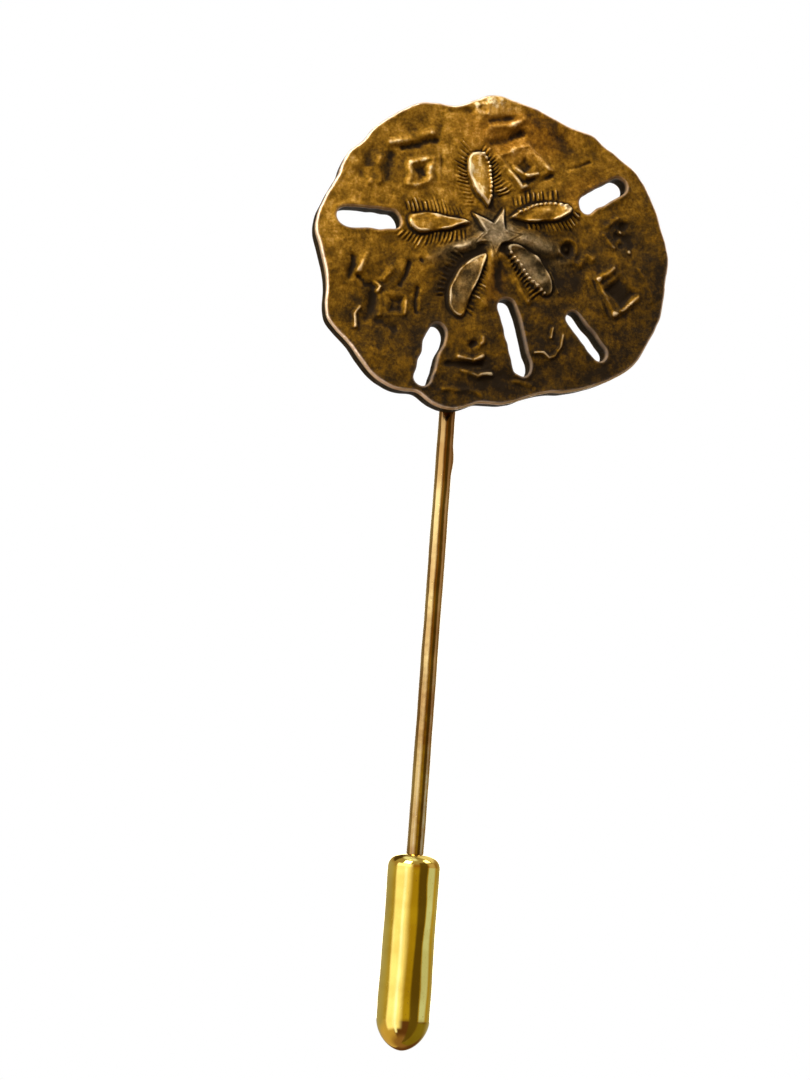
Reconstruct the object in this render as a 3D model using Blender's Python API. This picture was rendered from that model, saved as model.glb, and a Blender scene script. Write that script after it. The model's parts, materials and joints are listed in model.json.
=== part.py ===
"""Hat pin: a cast keyhole sand dollar head on a straight pin, with a push-on bullet clutch.

The wire runs along Z with its point down. The head faces -Y and its flat back is the plane y = 0.
The origin is on that back, on the wire's line, level with the middle of the star.
Shapes are drawn in millimetres and scaled to metres.
"""
import math

import bmesh
import bpy
from mathutils import Matrix, Vector

MM = 0.001
TINY = 1e-4

# Head, in millimetres; head points are (right, up) from the middle of the star
HEAD_THICKNESS = 1.4
STAR_FROM_WIRE = 1.7
RIM_ROUNDING = 0.3
RIM_STEPS = 4
DATUM_HALF = 1.2
# The wavy rim as (degrees from +X, radius): each lobe's crest and dip, and a point between far ones
RIM = [
    (0, 13.2), (9, 12.8), (18, 12.45), (29, 12.1), (38, 11.3), (45, 10.8), (50, 10.65), (58, 10.0),
    (66, 9.75), (76, 9.75), (83, 9.65), (90, 9.8), (97, 9.7), (104, 9.3), (112, 9.1), (119, 9.6),
    (126, 10.15), (136, 10.45), (148, 10.85), (155, 10.95), (162, 11.5), (171, 11.65), (180, 12.3),
    (188, 12.85), (198, 12.7), (205, 12.85), (211, 13.5), (216, 13.95), (225, 13.7), (235, 14.0),
    (243, 13.8), (249, 13.15), (256, 13.45), (263, 13.1), (269, 12.4), (278, 12.3), (291, 11.85),
    (301, 12.4), (312, 13.0), (323, 13.6), (333, 13.5), (342, 13.5), (353, 13.15),
]
# Through slots as (middle of one end, middle of the other end, width)
SLOTS = [
    ((-10.6, -0.8), (-7.5, -0.6), 1.4),
    ((6.75, 3.1), (9.0, 4.8), 1.3),
    ((-3.65, -7.9), (-4.45, -11.2), 1.25),
    ((1.25, -5.4), (2.7, -9.4), 1.35),
    ((6.2, -5.45), (8.3, -7.6), 1.1),
]
SLOT_END_STEPS = 6
# Raised petals as (inner end, outer end, width, share of the length where it is widest)
PETALS = [
    ((-0.7, 1.75), (-1.85, 5.15), 1.55, 0.6),
    ((-1.75, 0.05), (-6.15, -0.6), 1.4, 0.65),
    ((1.05, 1.1), (5.5, 2.5), 1.35, 0.5),
    ((-0.6, -1.8), (-2.8, -6.6), 1.75, 0.6),
    ((1.1, -0.8), (4.4, -3.85), 1.65, 0.55),
]
# Less than 1 makes a petal's ends blunter
PETAL_BLUNTNESS = 0.75
PETAL_HEIGHT = 0.26
PETAL_ROUNDING = 0.2
PETAL_STEPS = 9
# The tips of the star's arms, its middle, and the valleys' distance from that
STAR_TIPS = [(2.1, -0.1), (0.5, 1.7), (-1.75, 1.0), (-1.6, -1.3), (0.1, -1.9)]
STAR_MIDDLE = (0.05, -0.2)
STAR_VALLEY = 0.7
STAR_HEIGHT = 0.26
STAR_ROUNDING = 0.1
RELIEF_ROOT = 0.7
# Edges that turn by more than this many degrees are rounded over, in this many steps
SHARP_TURN = 60
ROUNDING_STEPS = 2

# The wire, its pad on the head's back and the solder that joins them
SEAM = 0.0125
WIRE_RADIUS = 0.575
PAD_RADIUS = 2.0
PAD_THICKNESS = 0.4
PAD_CENTRE_Z = -4.6
PAD_EDGE = 0.08
WIRE_AXIS_Y = SEAM + PAD_THICKNESS + SEAM + WIRE_RADIUS
WIRE_TOP_Z = -3.4
WIRE_END_CHAMFER = 0.12
POINT_LENGTH = 4.5
POINT_RADIUS = 0.06
# The needle point's swell, as (share of the wire's radius, share of the point's length)
POINT_SWELL = [(0.62, 0.5), (0.92, 0.85)]
FILLET_WIDTH = 0.45
FILLET_HEIGHT = 0.3
FILLET_STEPS = 4
FILLET_TOE = 0.04
SADDLE_HALF_SIZE = (1.15, 1.45, 1.5)
SADDLE_CENTRE_Z = -4.4
SADDLE_STEPS = (16, 10)

# The clutch, which is pushed home on the point
CLUTCH_TOP_Z = -43.0
CLUTCH_LENGTH = 12.7
CLUTCH_RADIUS = 1.75
NOSE_LENGTH = 2.0
NOSE_FULLNESS = 1.8
NOSE_WALL = 0.5
SHELL_WALL = 0.25
MOUTH_RADIUS = 0.85
MOUTH_HEIGHT = 0.85
BUSHING_LENGTH = 6.6
BUSHING_CLEARANCE = 0.03
SHELL_CLEARANCE = 0.04
STEP_RADIUS = 1.25
WASHER_THICKNESS = 0.5
WASHER_BORE = 0.7
RING_EDGE = 0.06
POINT_TO_NOSE = 0.2
# Heights inside the clutch, down from its mouth
WASHER_TOP = -MOUTH_HEIGHT - SEAM
WASHER_BOTTOM = WASHER_TOP - WASHER_THICKNESS
BUSHING_TOP = WASHER_BOTTOM - SHELL_CLEARANCE
STEP_Z = BUSHING_TOP - BUSHING_LENGTH - SHELL_CLEARANCE

ROUND_STEPS = 32
WIRE_STEPS = 24
ARC_STEPS = 6
CURL_STEPS = 4

# Finishes as (base colour, roughness, metallic)
MATERIALS = {
    "antique_brass": ((0.33, 0.20, 0.06), 0.45, 1.0),
    "plain_brass": ((0.55, 0.38, 0.14), 0.35, 1.0),
    "solder": ((0.55, 0.54, 0.52), 0.40, 1.0),
    "polished_brass": ((0.80, 0.58, 0.22), 0.15, 1.0),
    "nylon": ((0.85, 0.83, 0.76), 0.50, 0.0),
}


def clear_scene():
    for thing in list(bpy.data.objects):
        bpy.data.objects.remove(thing)


def material(name):
    found = bpy.data.materials.get(name)
    if found:
        return found
    colour, roughness, metallic = MATERIALS[name]
    made = bpy.data.materials.new(name)
    made.use_nodes = True
    shader = made.node_tree.nodes["Principled BSDF"]
    shader.inputs["Base Color"].default_value = (*colour, 1.0)
    shader.inputs["Roughness"].default_value = roughness
    shader.inputs["Metallic"].default_value = metallic
    return made


def make_object(name, bm, material_name=None, location=(0.0, 0.0, 0.0), smooth_angle=40.0):
    """Turns a bmesh drawn in millimetres into an object in metres; location is in millimetres too."""
    bmesh.ops.recalc_face_normals(bm, faces=bm.faces[:])
    mesh = bpy.data.meshes.new(name)
    bm.to_mesh(mesh)
    bm.free()
    mesh.transform(Matrix.Scale(MM, 4))
    mesh.shade_smooth()
    mesh.set_sharp_from_angle(angle=math.radians(smooth_angle))
    made = bpy.data.objects.new(name, mesh)
    made.location = Vector(location) * MM
    bpy.context.scene.collection.objects.link(made)
    if material_name:
        mesh.materials.append(material(material_name))
    return made


def make_cutter(name, bm, location=(0.0, 0.0, 0.0)):
    """A guide solid for a Boolean, which isn't a piece of the object."""
    cutter = make_object(name, bm, location=location)
    cutter.hide_render = True
    cutter.display_type = "WIRE"
    return cutter


def add_boolean(target, cutter, operation):
    boolean = target.modifiers.new(cutter.name, "BOOLEAN")
    boolean.operation = operation
    boolean.solver = "EXACT"
    boolean.object = cutter


def arc(centre, radius, start, end, steps=ARC_STEPS):
    """Points along an arc in a plane, with angles in degrees."""
    points = []
    for i in range(steps + 1):
        angle = math.radians(start + (end - start) * i / steps)
        points.append((centre[0] + radius * math.cos(angle), centre[1] + radius * math.sin(angle)))
    return points


def dome(width, height, foot_z, fullness=2.0, steps=ARC_STEPS):
    """Half the section of a dome that closes on the axis below foot_z.

    A fullness of 2 is an ellipse, and less is more pointed.
    """
    points = []
    for i in range(steps + 1):
        angle = math.radians(90.0 * i / steps)
        across = math.cos(angle) ** (2 / fullness) if i < steps else 0.0
        points.append((width * across, foot_z - height * math.sin(angle) ** (2 / fullness)))
    return points


def shoulder(width, height, steps=ARC_STEPS):
    """Half the section of the drawn-in mouth, from the shell's side up to the curl round its hole."""
    points = []
    for i in range(steps + 1):
        angle = math.radians(90.0 * i / steps)
        points.append((MOUTH_RADIUS + width * math.cos(angle), height * math.sin(angle) - MOUTH_HEIGHT))
    return points


def turned(profile, steps=ROUND_STEPS, closed=False):
    """A solid of revolution round Z from (radius, height) points. A closed profile gives a ring."""
    bm = bmesh.new()
    verts = [bm.verts.new((radius, 0.0, height)) for radius, height in profile]
    edges = [bm.edges.new(pair) for pair in zip(verts, verts[1:])]
    if closed:
        edges.append(bm.edges.new((verts[-1], verts[0])))
    bmesh.ops.spin(
        bm,
        geom=verts + edges,
        cent=(0, 0, 0),
        axis=(0, 0, 1),
        angle=math.tau,
        steps=steps,
        use_merge=True,
    )
    bmesh.ops.remove_doubles(bm, verts=bm.verts[:], dist=TINY)
    return bm


def smooth_loop(points, steps):
    """A closed smooth curve (Catmull-Rom) through the points, with this many steps between each two."""
    count = len(points)
    curve = []
    for i in range(count):
        before, start, end, after = (Vector(points[(i + k) % count]) for k in (-1, 0, 1, 2))
        for step in range(steps):
            t = step / steps
            curve.append(
                0.5
                * (
                    2 * start
                    + (end - before) * t
                    + (2 * before - 5 * start + 4 * end - after) * t**2
                    + (3 * start - before - 3 * end + after) * t**3
                )
            )
    return curve


def rim_outline():
    corners = [
        (radius * math.cos(math.radians(angle)), radius * math.sin(math.radians(angle)))
        for angle, radius in RIM
    ]
    return smooth_loop(corners, RIM_STEPS)


def slot_outline(start, end, width):
    """A slot with round ends, as a closed loop."""
    start, end = Vector(start), Vector(end)
    heading = math.atan2(end.y - start.y, end.x - start.x)
    loop = []
    for middle, first in ((end, heading - math.pi / 2), (start, heading + math.pi / 2)):
        for i in range(SLOT_END_STEPS + 1):
            angle = first + math.pi * i / SLOT_END_STEPS
            loop.append(middle + Vector((math.cos(angle), math.sin(angle))) * width / 2)
    return loop


def petal_outline(inner, outer, width, widest):
    """A leaf shape with a point at each end, fullest at the given share of its length."""
    inner, outer = Vector(inner), Vector(outer)
    along = outer - inner
    across = Vector((-along.y, along.x)).normalized() * width / 2
    bend = math.log(0.5) / math.log(widest)
    left, right = [], []
    for i in range(PETAL_STEPS + 1):
        share = i / PETAL_STEPS
        fullness = math.sin(math.pi * share**bend) ** PETAL_BLUNTNESS if 0 < i < PETAL_STEPS else 0.0
        left.append(inner + along * share + across * fullness)
        right.append(inner + along * share - across * fullness)
    return right + left[-2:0:-1]


def star_outline():
    """Five arms of different lengths, with a valley half-way round between each two."""
    tips = [Vector(tip) for tip in STAR_TIPS]
    loop = []
    for tip, following in zip(tips, tips[1:] + tips[:1]):
        between = (tip.normalized() + following.normalized()).normalized()
        loop += [tip, Vector(STAR_MIDDLE) + between * STAR_VALLEY]
    return loop


def add_loop(bm, outline, y=0.0):
    """A closed loop of edges from head points, standing in the plane at y."""
    verts = [bm.verts.new((STAR_FROM_WIRE + point[0], y, point[1])) for point in outline]
    return [bm.edges.new(pair) for pair in zip(verts, verts[1:] + verts[:1])]


def add_raised_shape(bm, outline, height, rounding):
    """Adds a low closed solid with a rounded top, rooted inside the head's plate."""
    loop = add_loop(bm, outline, -RELIEF_ROOT)
    foot = bmesh.ops.contextual_create(bm, geom=loop)["faces"]
    lifted = bmesh.ops.extrude_face_region(bm, geom=foot)["geom"]
    top = [part for part in lifted if isinstance(part, bmesh.types.BMFace)]
    moved = [part for part in lifted if isinstance(part, bmesh.types.BMVert)]
    bmesh.ops.translate(bm, verts=moved, vec=(0, RELIEF_ROOT - HEAD_THICKNESS - height, 0))
    bmesh.ops.bevel(
        bm,
        geom=list(top[0].edges),
        offset=rounding,
        segments=ROUNDING_STEPS,
        affect="EDGES",
        clamp_overlap=True,
    )


def relief_guide():
    """The petals and the star, as separate solids in one guide."""
    bm = bmesh.new()
    for petal in PETALS:
        add_raised_shape(bm, petal_outline(*petal), PETAL_HEIGHT, PETAL_ROUNDING)
    add_raised_shape(bm, star_outline(), STAR_HEIGHT, STAR_ROUNDING)
    return make_cutter("relief_guide", bm)


def front_edges(bm):
    """The sharp edges round the plate's front: the rim's and the slots'."""
    edges = []
    for edge in bm.edges:
        on_front = all(abs(vert.co.y + HEAD_THICKNESS) < TINY for vert in edge.verts)
        if on_front and edge.calc_face_angle(0.0) > math.radians(SHARP_TURN):
            edges.append(edge)
    return edges


def sand_dollar_head():
    """A flat plate with a wavy rounded rim and five slots, and five petals and a star on its front."""
    bm = bmesh.new()
    loops = add_loop(bm, rim_outline())
    for slot in SLOTS:
        loops += add_loop(bm, slot_outline(*slot))
    corners = [(-1, -1), (1, -1), (1, 1), (-1, 1)]
    datum = add_loop(bm, [(x * DATUM_HALF - STAR_FROM_WIRE, z * DATUM_HALF) for x, z in corners])
    bmesh.ops.triangle_fill(bm, use_beauty=True, edges=loops + datum, normal=(0, 1, 0))
    bmesh.ops.contextual_create(bm, geom=datum)
    lifted = bmesh.ops.extrude_face_region(bm, geom=bm.faces[:])["geom"]
    moved = [part for part in lifted if isinstance(part, bmesh.types.BMVert)]
    bmesh.ops.translate(bm, verts=moved, vec=(0, -HEAD_THICKNESS, 0))
    bmesh.ops.recalc_face_normals(bm, faces=bm.faces[:])
    bmesh.ops.bevel(
        bm,
        geom=front_edges(bm),
        offset=RIM_ROUNDING,
        segments=ROUNDING_STEPS,
        affect="EDGES",
    )
    head = make_object("sand_dollar_head", bm, "antique_brass")
    add_boolean(head, relief_guide(), "UNION")
    return head


def facing_back(bm):
    """Lays a turned shape down, so that what pointed up points away from the head's back."""
    turn = Matrix.Rotation(math.radians(-90), 3, "X")
    bmesh.ops.rotate(bm, verts=bm.verts[:], cent=(0, 0, 0), matrix=turn)
    return bm


def mounting_pad():
    """A thin round pad flat on the head's back."""
    side = PAD_RADIUS - PAD_EDGE
    top = PAD_THICKNESS - PAD_EDGE
    profile = [
        (0, 0),
        (side, 0),
        (PAD_RADIUS, PAD_EDGE),
        (PAD_RADIUS, top),
        (side, PAD_THICKNESS),
        (0, PAD_THICKNESS),
    ]
    bm = facing_back(turned(profile))
    return make_object("mounting_pad", bm, "plain_brass", (0, SEAM, PAD_CENTRE_Z))


def pad_solder():
    """A hollow-faced fillet ring between the head's back and the pad's edge."""
    inner = PAD_RADIUS + SEAM
    outer = inner + FILLET_WIDTH
    face = arc((outer, FILLET_HEIGHT), FILLET_HEIGHT - FILLET_TOE, 270, 180, FILLET_STEPS)
    profile = [(inner, 0), (outer, 0)] + face + [(inner, FILLET_HEIGHT)]
    bm = facing_back(turned(profile, closed=True))
    return make_object("pad_solder", bm, "solder", (0, SEAM, PAD_CENTRE_Z))


def wire_channel():
    """The room the wire's end takes up inside its solder, open towards the pad."""
    reach = WIRE_RADIUS + 2 * SEAM
    outline = arc((0, 0), reach, 0, 180) + [(-reach, -2 * reach), (reach, -2 * reach)]
    bm = bmesh.new()
    foot = bm.faces.new([bm.verts.new((x, y, 0.0)) for x, y in outline])
    lifted = bmesh.ops.extrude_face_region(bm, geom=[foot])["geom"]
    moved = [part for part in lifted if isinstance(part, bmesh.types.BMVert)]
    bmesh.ops.translate(bm, verts=moved, vec=(0, 0, -2 * PAD_RADIUS))
    return make_cutter("wire_channel_guide", bm, (0, WIRE_AXIS_Y, WIRE_TOP_Z + SEAM))


def wire_solder():
    """A smooth lump over the wire's end, flat where it sits on the pad."""
    bm = bmesh.new()
    around, over = SADDLE_STEPS
    bmesh.ops.create_uvsphere(bm, u_segments=around, v_segments=over, radius=1.0)
    bmesh.ops.scale(bm, verts=bm.verts[:], vec=SADDLE_HALF_SIZE)
    parts = bm.verts[:] + bm.edges[:] + bm.faces[:]
    cut = bmesh.ops.bisect_plane(
        bm,
        geom=parts,
        plane_co=(0, 0, 0),
        plane_no=(0, -1, 0),
        clear_outer=True,
    )
    flat_edges = [part for part in cut["geom_cut"] if isinstance(part, bmesh.types.BMEdge)]
    bmesh.ops.contextual_create(bm, geom=flat_edges)
    base_y = SEAM + PAD_THICKNESS + SEAM
    saddle = make_object("wire_solder", bm, "solder", (0, base_y, SADDLE_CENTRE_Z))
    add_boolean(saddle, wire_channel(), "DIFFERENCE")
    return saddle


def pin_wire():
    """A straight round wire with its top end chamfered and a long needle point at the bottom."""
    point_z = CLUTCH_TOP_Z - CLUTCH_LENGTH + NOSE_WALL + POINT_TO_NOSE
    swell = [(WIRE_RADIUS * width, point_z + POINT_LENGTH * up) for width, up in POINT_SWELL]
    profile = [(0.0, point_z), (POINT_RADIUS, point_z + POINT_RADIUS)] + swell
    profile += [
        (WIRE_RADIUS, point_z + POINT_LENGTH),
        (WIRE_RADIUS, WIRE_TOP_Z - WIRE_END_CHAMFER),
        (WIRE_RADIUS - WIRE_END_CHAMFER, WIRE_TOP_Z),
        (0.0, WIRE_TOP_Z),
    ]
    return make_object("pin_wire", turned(profile, WIRE_STEPS), "polished_brass", (0, WIRE_AXIS_Y, 0))


def place_on_wire(name, bm, material_name):
    """A piece of the clutch, with its origin on the wire's axis at the clutch's mouth."""
    return make_object(name, bm, material_name, (0, WIRE_AXIS_Y, CLUTCH_TOP_Z))


def clutch_shell():
    """A drawn shell with a drawn-in mouth, a bullet nose and a step inside that the bushing rests on."""
    nose_z = NOSE_LENGTH - CLUTCH_LENGTH
    bore = CLUTCH_RADIUS - SHELL_WALL
    outside = dome(CLUTCH_RADIUS, NOSE_LENGTH, nose_z, NOSE_FULLNESS)[::-1]
    outer_mouth = shoulder(CLUTCH_RADIUS - MOUTH_RADIUS, MOUTH_HEIGHT)
    curl = arc((MOUTH_RADIUS, -SHELL_WALL / 2), SHELL_WALL / 2, 90, 270, CURL_STEPS)[1:-1]
    inner_mouth = shoulder(bore - MOUTH_RADIUS, MOUTH_HEIGHT - SHELL_WALL)[::-1]
    step = [(bore, STEP_Z), (STEP_RADIUS, STEP_Z)]
    cavity = dome(STEP_RADIUS, NOSE_LENGTH - NOSE_WALL, nose_z, NOSE_FULLNESS)
    profile = outside + outer_mouth + curl + inner_mouth + step + cavity
    return place_on_wire("clutch_shell", turned(profile), "polished_brass")


def ring_profile(inner, outer, top, bottom, edge):
    """The closed section of a ring with its four corners cut off."""
    return [
        (inner, bottom + edge),
        (inner + edge, bottom),
        (outer - edge, bottom),
        (outer, bottom + edge),
        (outer, top - edge),
        (outer - edge, top),
        (inner + edge, top),
        (inner, top - edge),
    ]


def mouth_washer():
    """A flat ring that fits tightly in the shell just under its mouth."""
    outer = CLUTCH_RADIUS - SHELL_WALL - SEAM
    profile = ring_profile(WASHER_BORE, outer, WASHER_TOP, WASHER_BOTTOM, RING_EDGE)
    return place_on_wire("mouth_washer", turned(profile, closed=True), "plain_brass")


def grip_bushing():
    """A long nylon ring that grips the wire, loose between the washer and the step in the shell."""
    outer = CLUTCH_RADIUS - SHELL_WALL - SHELL_CLEARANCE
    bore = WIRE_RADIUS + BUSHING_CLEARANCE
    profile = ring_profile(bore, outer, BUSHING_TOP, BUSHING_TOP - BUSHING_LENGTH, RING_EDGE)
    return place_on_wire("grip_bushing", turned(profile, closed=True), "nylon")


clear_scene()
sand_dollar_head()
mounting_pad()
pad_solder()
wire_solder()
pin_wire()
clutch_shell()
mouth_washer()
grip_bushing()
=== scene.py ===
"""Looks of a hat pin: an antiqued sand dollar head on a straight wire, with a polished bullet clutch.

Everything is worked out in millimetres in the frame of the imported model, and scaled to metres when a
mesh is made. Head points are (right, up) from the middle of the star, and the head's front faces -Y.
"""
import json
import math

import bmesh
import bpy
import numpy as np
from mathutils import Matrix, Vector, kdtree, noise
from mathutils.geometry import delaunay_2d_cdt


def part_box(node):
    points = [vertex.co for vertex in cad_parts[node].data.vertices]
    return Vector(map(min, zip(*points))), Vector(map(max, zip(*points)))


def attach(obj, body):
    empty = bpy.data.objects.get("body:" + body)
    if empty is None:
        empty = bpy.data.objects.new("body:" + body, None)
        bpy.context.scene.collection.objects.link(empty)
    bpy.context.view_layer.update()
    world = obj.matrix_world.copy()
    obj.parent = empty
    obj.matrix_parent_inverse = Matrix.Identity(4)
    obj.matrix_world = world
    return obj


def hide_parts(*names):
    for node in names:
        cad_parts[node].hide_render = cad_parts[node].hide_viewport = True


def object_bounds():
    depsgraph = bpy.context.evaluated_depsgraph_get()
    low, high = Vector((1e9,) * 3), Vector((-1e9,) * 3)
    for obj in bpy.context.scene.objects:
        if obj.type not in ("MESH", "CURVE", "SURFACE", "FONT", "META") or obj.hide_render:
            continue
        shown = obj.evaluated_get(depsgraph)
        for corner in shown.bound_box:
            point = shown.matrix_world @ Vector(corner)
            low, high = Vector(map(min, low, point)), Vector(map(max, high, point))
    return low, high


MM = 0.001
SEED = 11

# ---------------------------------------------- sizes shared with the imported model, in millimetres
HEAD_THICKNESS = 1.4
STAR_FROM_WIRE = 1.7
WIRE_RADIUS = 0.575
SHELL_WALL = 0.25
MOUTH_RADIUS = 0.85
MOUTH_HEIGHT = 0.85
NOSE_LENGTH = 2.0
NOSE_FULLNESS = 1.8
NOSE_WALL = 0.5
STEP_RADIUS = 1.25
STEP_DEPTH = 8.04

# ---------------------------------------------- the head's relief
# Heights are kept on a sheet of square cells that covers the head. The pattern is multiplied by its
# relief, and pressed through coordinates that are bent by the warp
CELL = 0.04
SHEET_LEFT, SHEET_BOTTOM = -14.0, -14.2
SHEET_COLUMNS, SHEET_ROWS = 720, 640
PATTERN_RELIEF = 1.5
WARP = 0.055

# Petals: inner end, outer end, width, how slowly it opens, how pointed its outer end is, sideways bow,
# and the side of its beads (-1 left, 1 right, 0 none)
PETALS = [
    ((-0.75, 1.5), (-1.75, 5.35), 1.75, 0.75, 0.32, 0.0, 1),
    ((-1.75, 0.05), (-6.3, -0.45), 1.5, 0.85, 0.36, 0.0, 0),
    ((1.05, 1.1), (5.6, 2.5), 1.4, 0.7, 0.6, 0.0, -1),
    ((-0.6, -1.75), (-2.45, -6.65), 1.75, 0.65, 0.4, -0.42, 0),
    ((1.05, -0.9), (4.35, -4.1), 1.65, 0.5, 0.5, 0.3, 1),
]
PETAL_STEPS = 18
PETAL_HEIGHT = 0.24
PETAL_ROUNDING = 0.3
PETAL_RIM = 0.08
PETAL_GROOVE = 0.03
BEADS = 11
BEAD_INSET = 0.08
BEAD_RADIUS = 0.15
BEAD_HEIGHT = 0.26
STAR_TIPS = [(2.1, -0.1), (0.5, 1.7), (-1.75, 1.0), (-1.6, -1.3), (0.1, -1.9)]
STAR_MIDDLE = (0.05, -0.3)
STAR_VALLEY = 0.78
STAR_HEIGHT = 0.24
STAR_ROUNDING = 0.2
STAR_RIM = 0.06
STAR_GROOVE = 0.05
# Where their raised edges and the grooves round them lie: depth inside the outline, and half-width
PETAL_RIM_PLACE = (0.12, 0.08)
STAR_RIM_PLACE = (0.1, 0.07)
GROOVE_PLACE = (-0.1, 0.08)
# Combs of fine grooves beside the petals: the run of their inner ends, the run of their outer ends,
# and how many grooves
COMBS = [
    (
        [(-2.15, 5.5), (-2.4, 4.5), (-2.28, 3.37), (-1.68, 1.44)],
        [(-2.9, 6.1), (-3.3, 4.7), (-3.15, 3.3), (-2.5, 1.3)],
        17,
    ),
    (
        [(-1.35, 5.6), (-0.85, 4.93), (-0.4, 3.8), (0.1, 2.4)],
        [(-0.9, 6.2), (-0.05, 5.4), (0.4, 4.15), (1.2, 3.1)],
        15,
    ),
    (
        [(-6.3, 0.35), (-5.1, 0.6), (-3.64, 0.68), (-2.4, 0.7)],
        [(-6.7, 1.0), (-5.2, 1.75), (-3.8, 1.6), (-2.7, 1.3)],
        15,
    ),
    (
        [(-6.7, -1.2), (-5.0, -1.3), (-3.1, -0.85), (-2.1, -0.6)],
        [(-7.3, -1.9), (-5.2, -2.25), (-3.4, -1.8), (-2.2, -1.3)],
        17,
    ),
    (
        [(2.2, 0.75), (3.6, 0.95), (5.3, 1.55), (5.95, 2.4)],
        [(2.4, 0.3), (3.9, 0.35), (5.9, 0.9), (6.5, 2.1)],
        15,
    ),
    (
        [(1.3, 2.0), (2.8, 2.75), (4.6, 3.1)],
        [(1.2, 2.6), (2.6, 3.4), (4.5, 3.8)],
        11,
    ),
    (
        [(-0.75, -2.6), (-1.2, -4.2), (-1.9, -6.0)],
        [(-0.35, -2.9), (-0.35, -4.6), (-1.05, -6.4)],
        12,
    ),
    (
        [(1.3, -1.7), (2.4, -2.7), (3.6, -4.0)],
        [(1.0, -2.2), (1.9, -3.3), (3.0, -4.7)],
        12,
    ),
    (
        [(-2.2, -2.2), (-3.2, -3.6), (-3.5, -5.4)],
        [(-3.0, -1.9), (-3.9, -3.3), (-4.1, -5.3)],
        11,
    ),
]
COMB_WIDTH = 0.15
COMB_RIDGE = 0.055
COMB_GROOVE = 0.03
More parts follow.
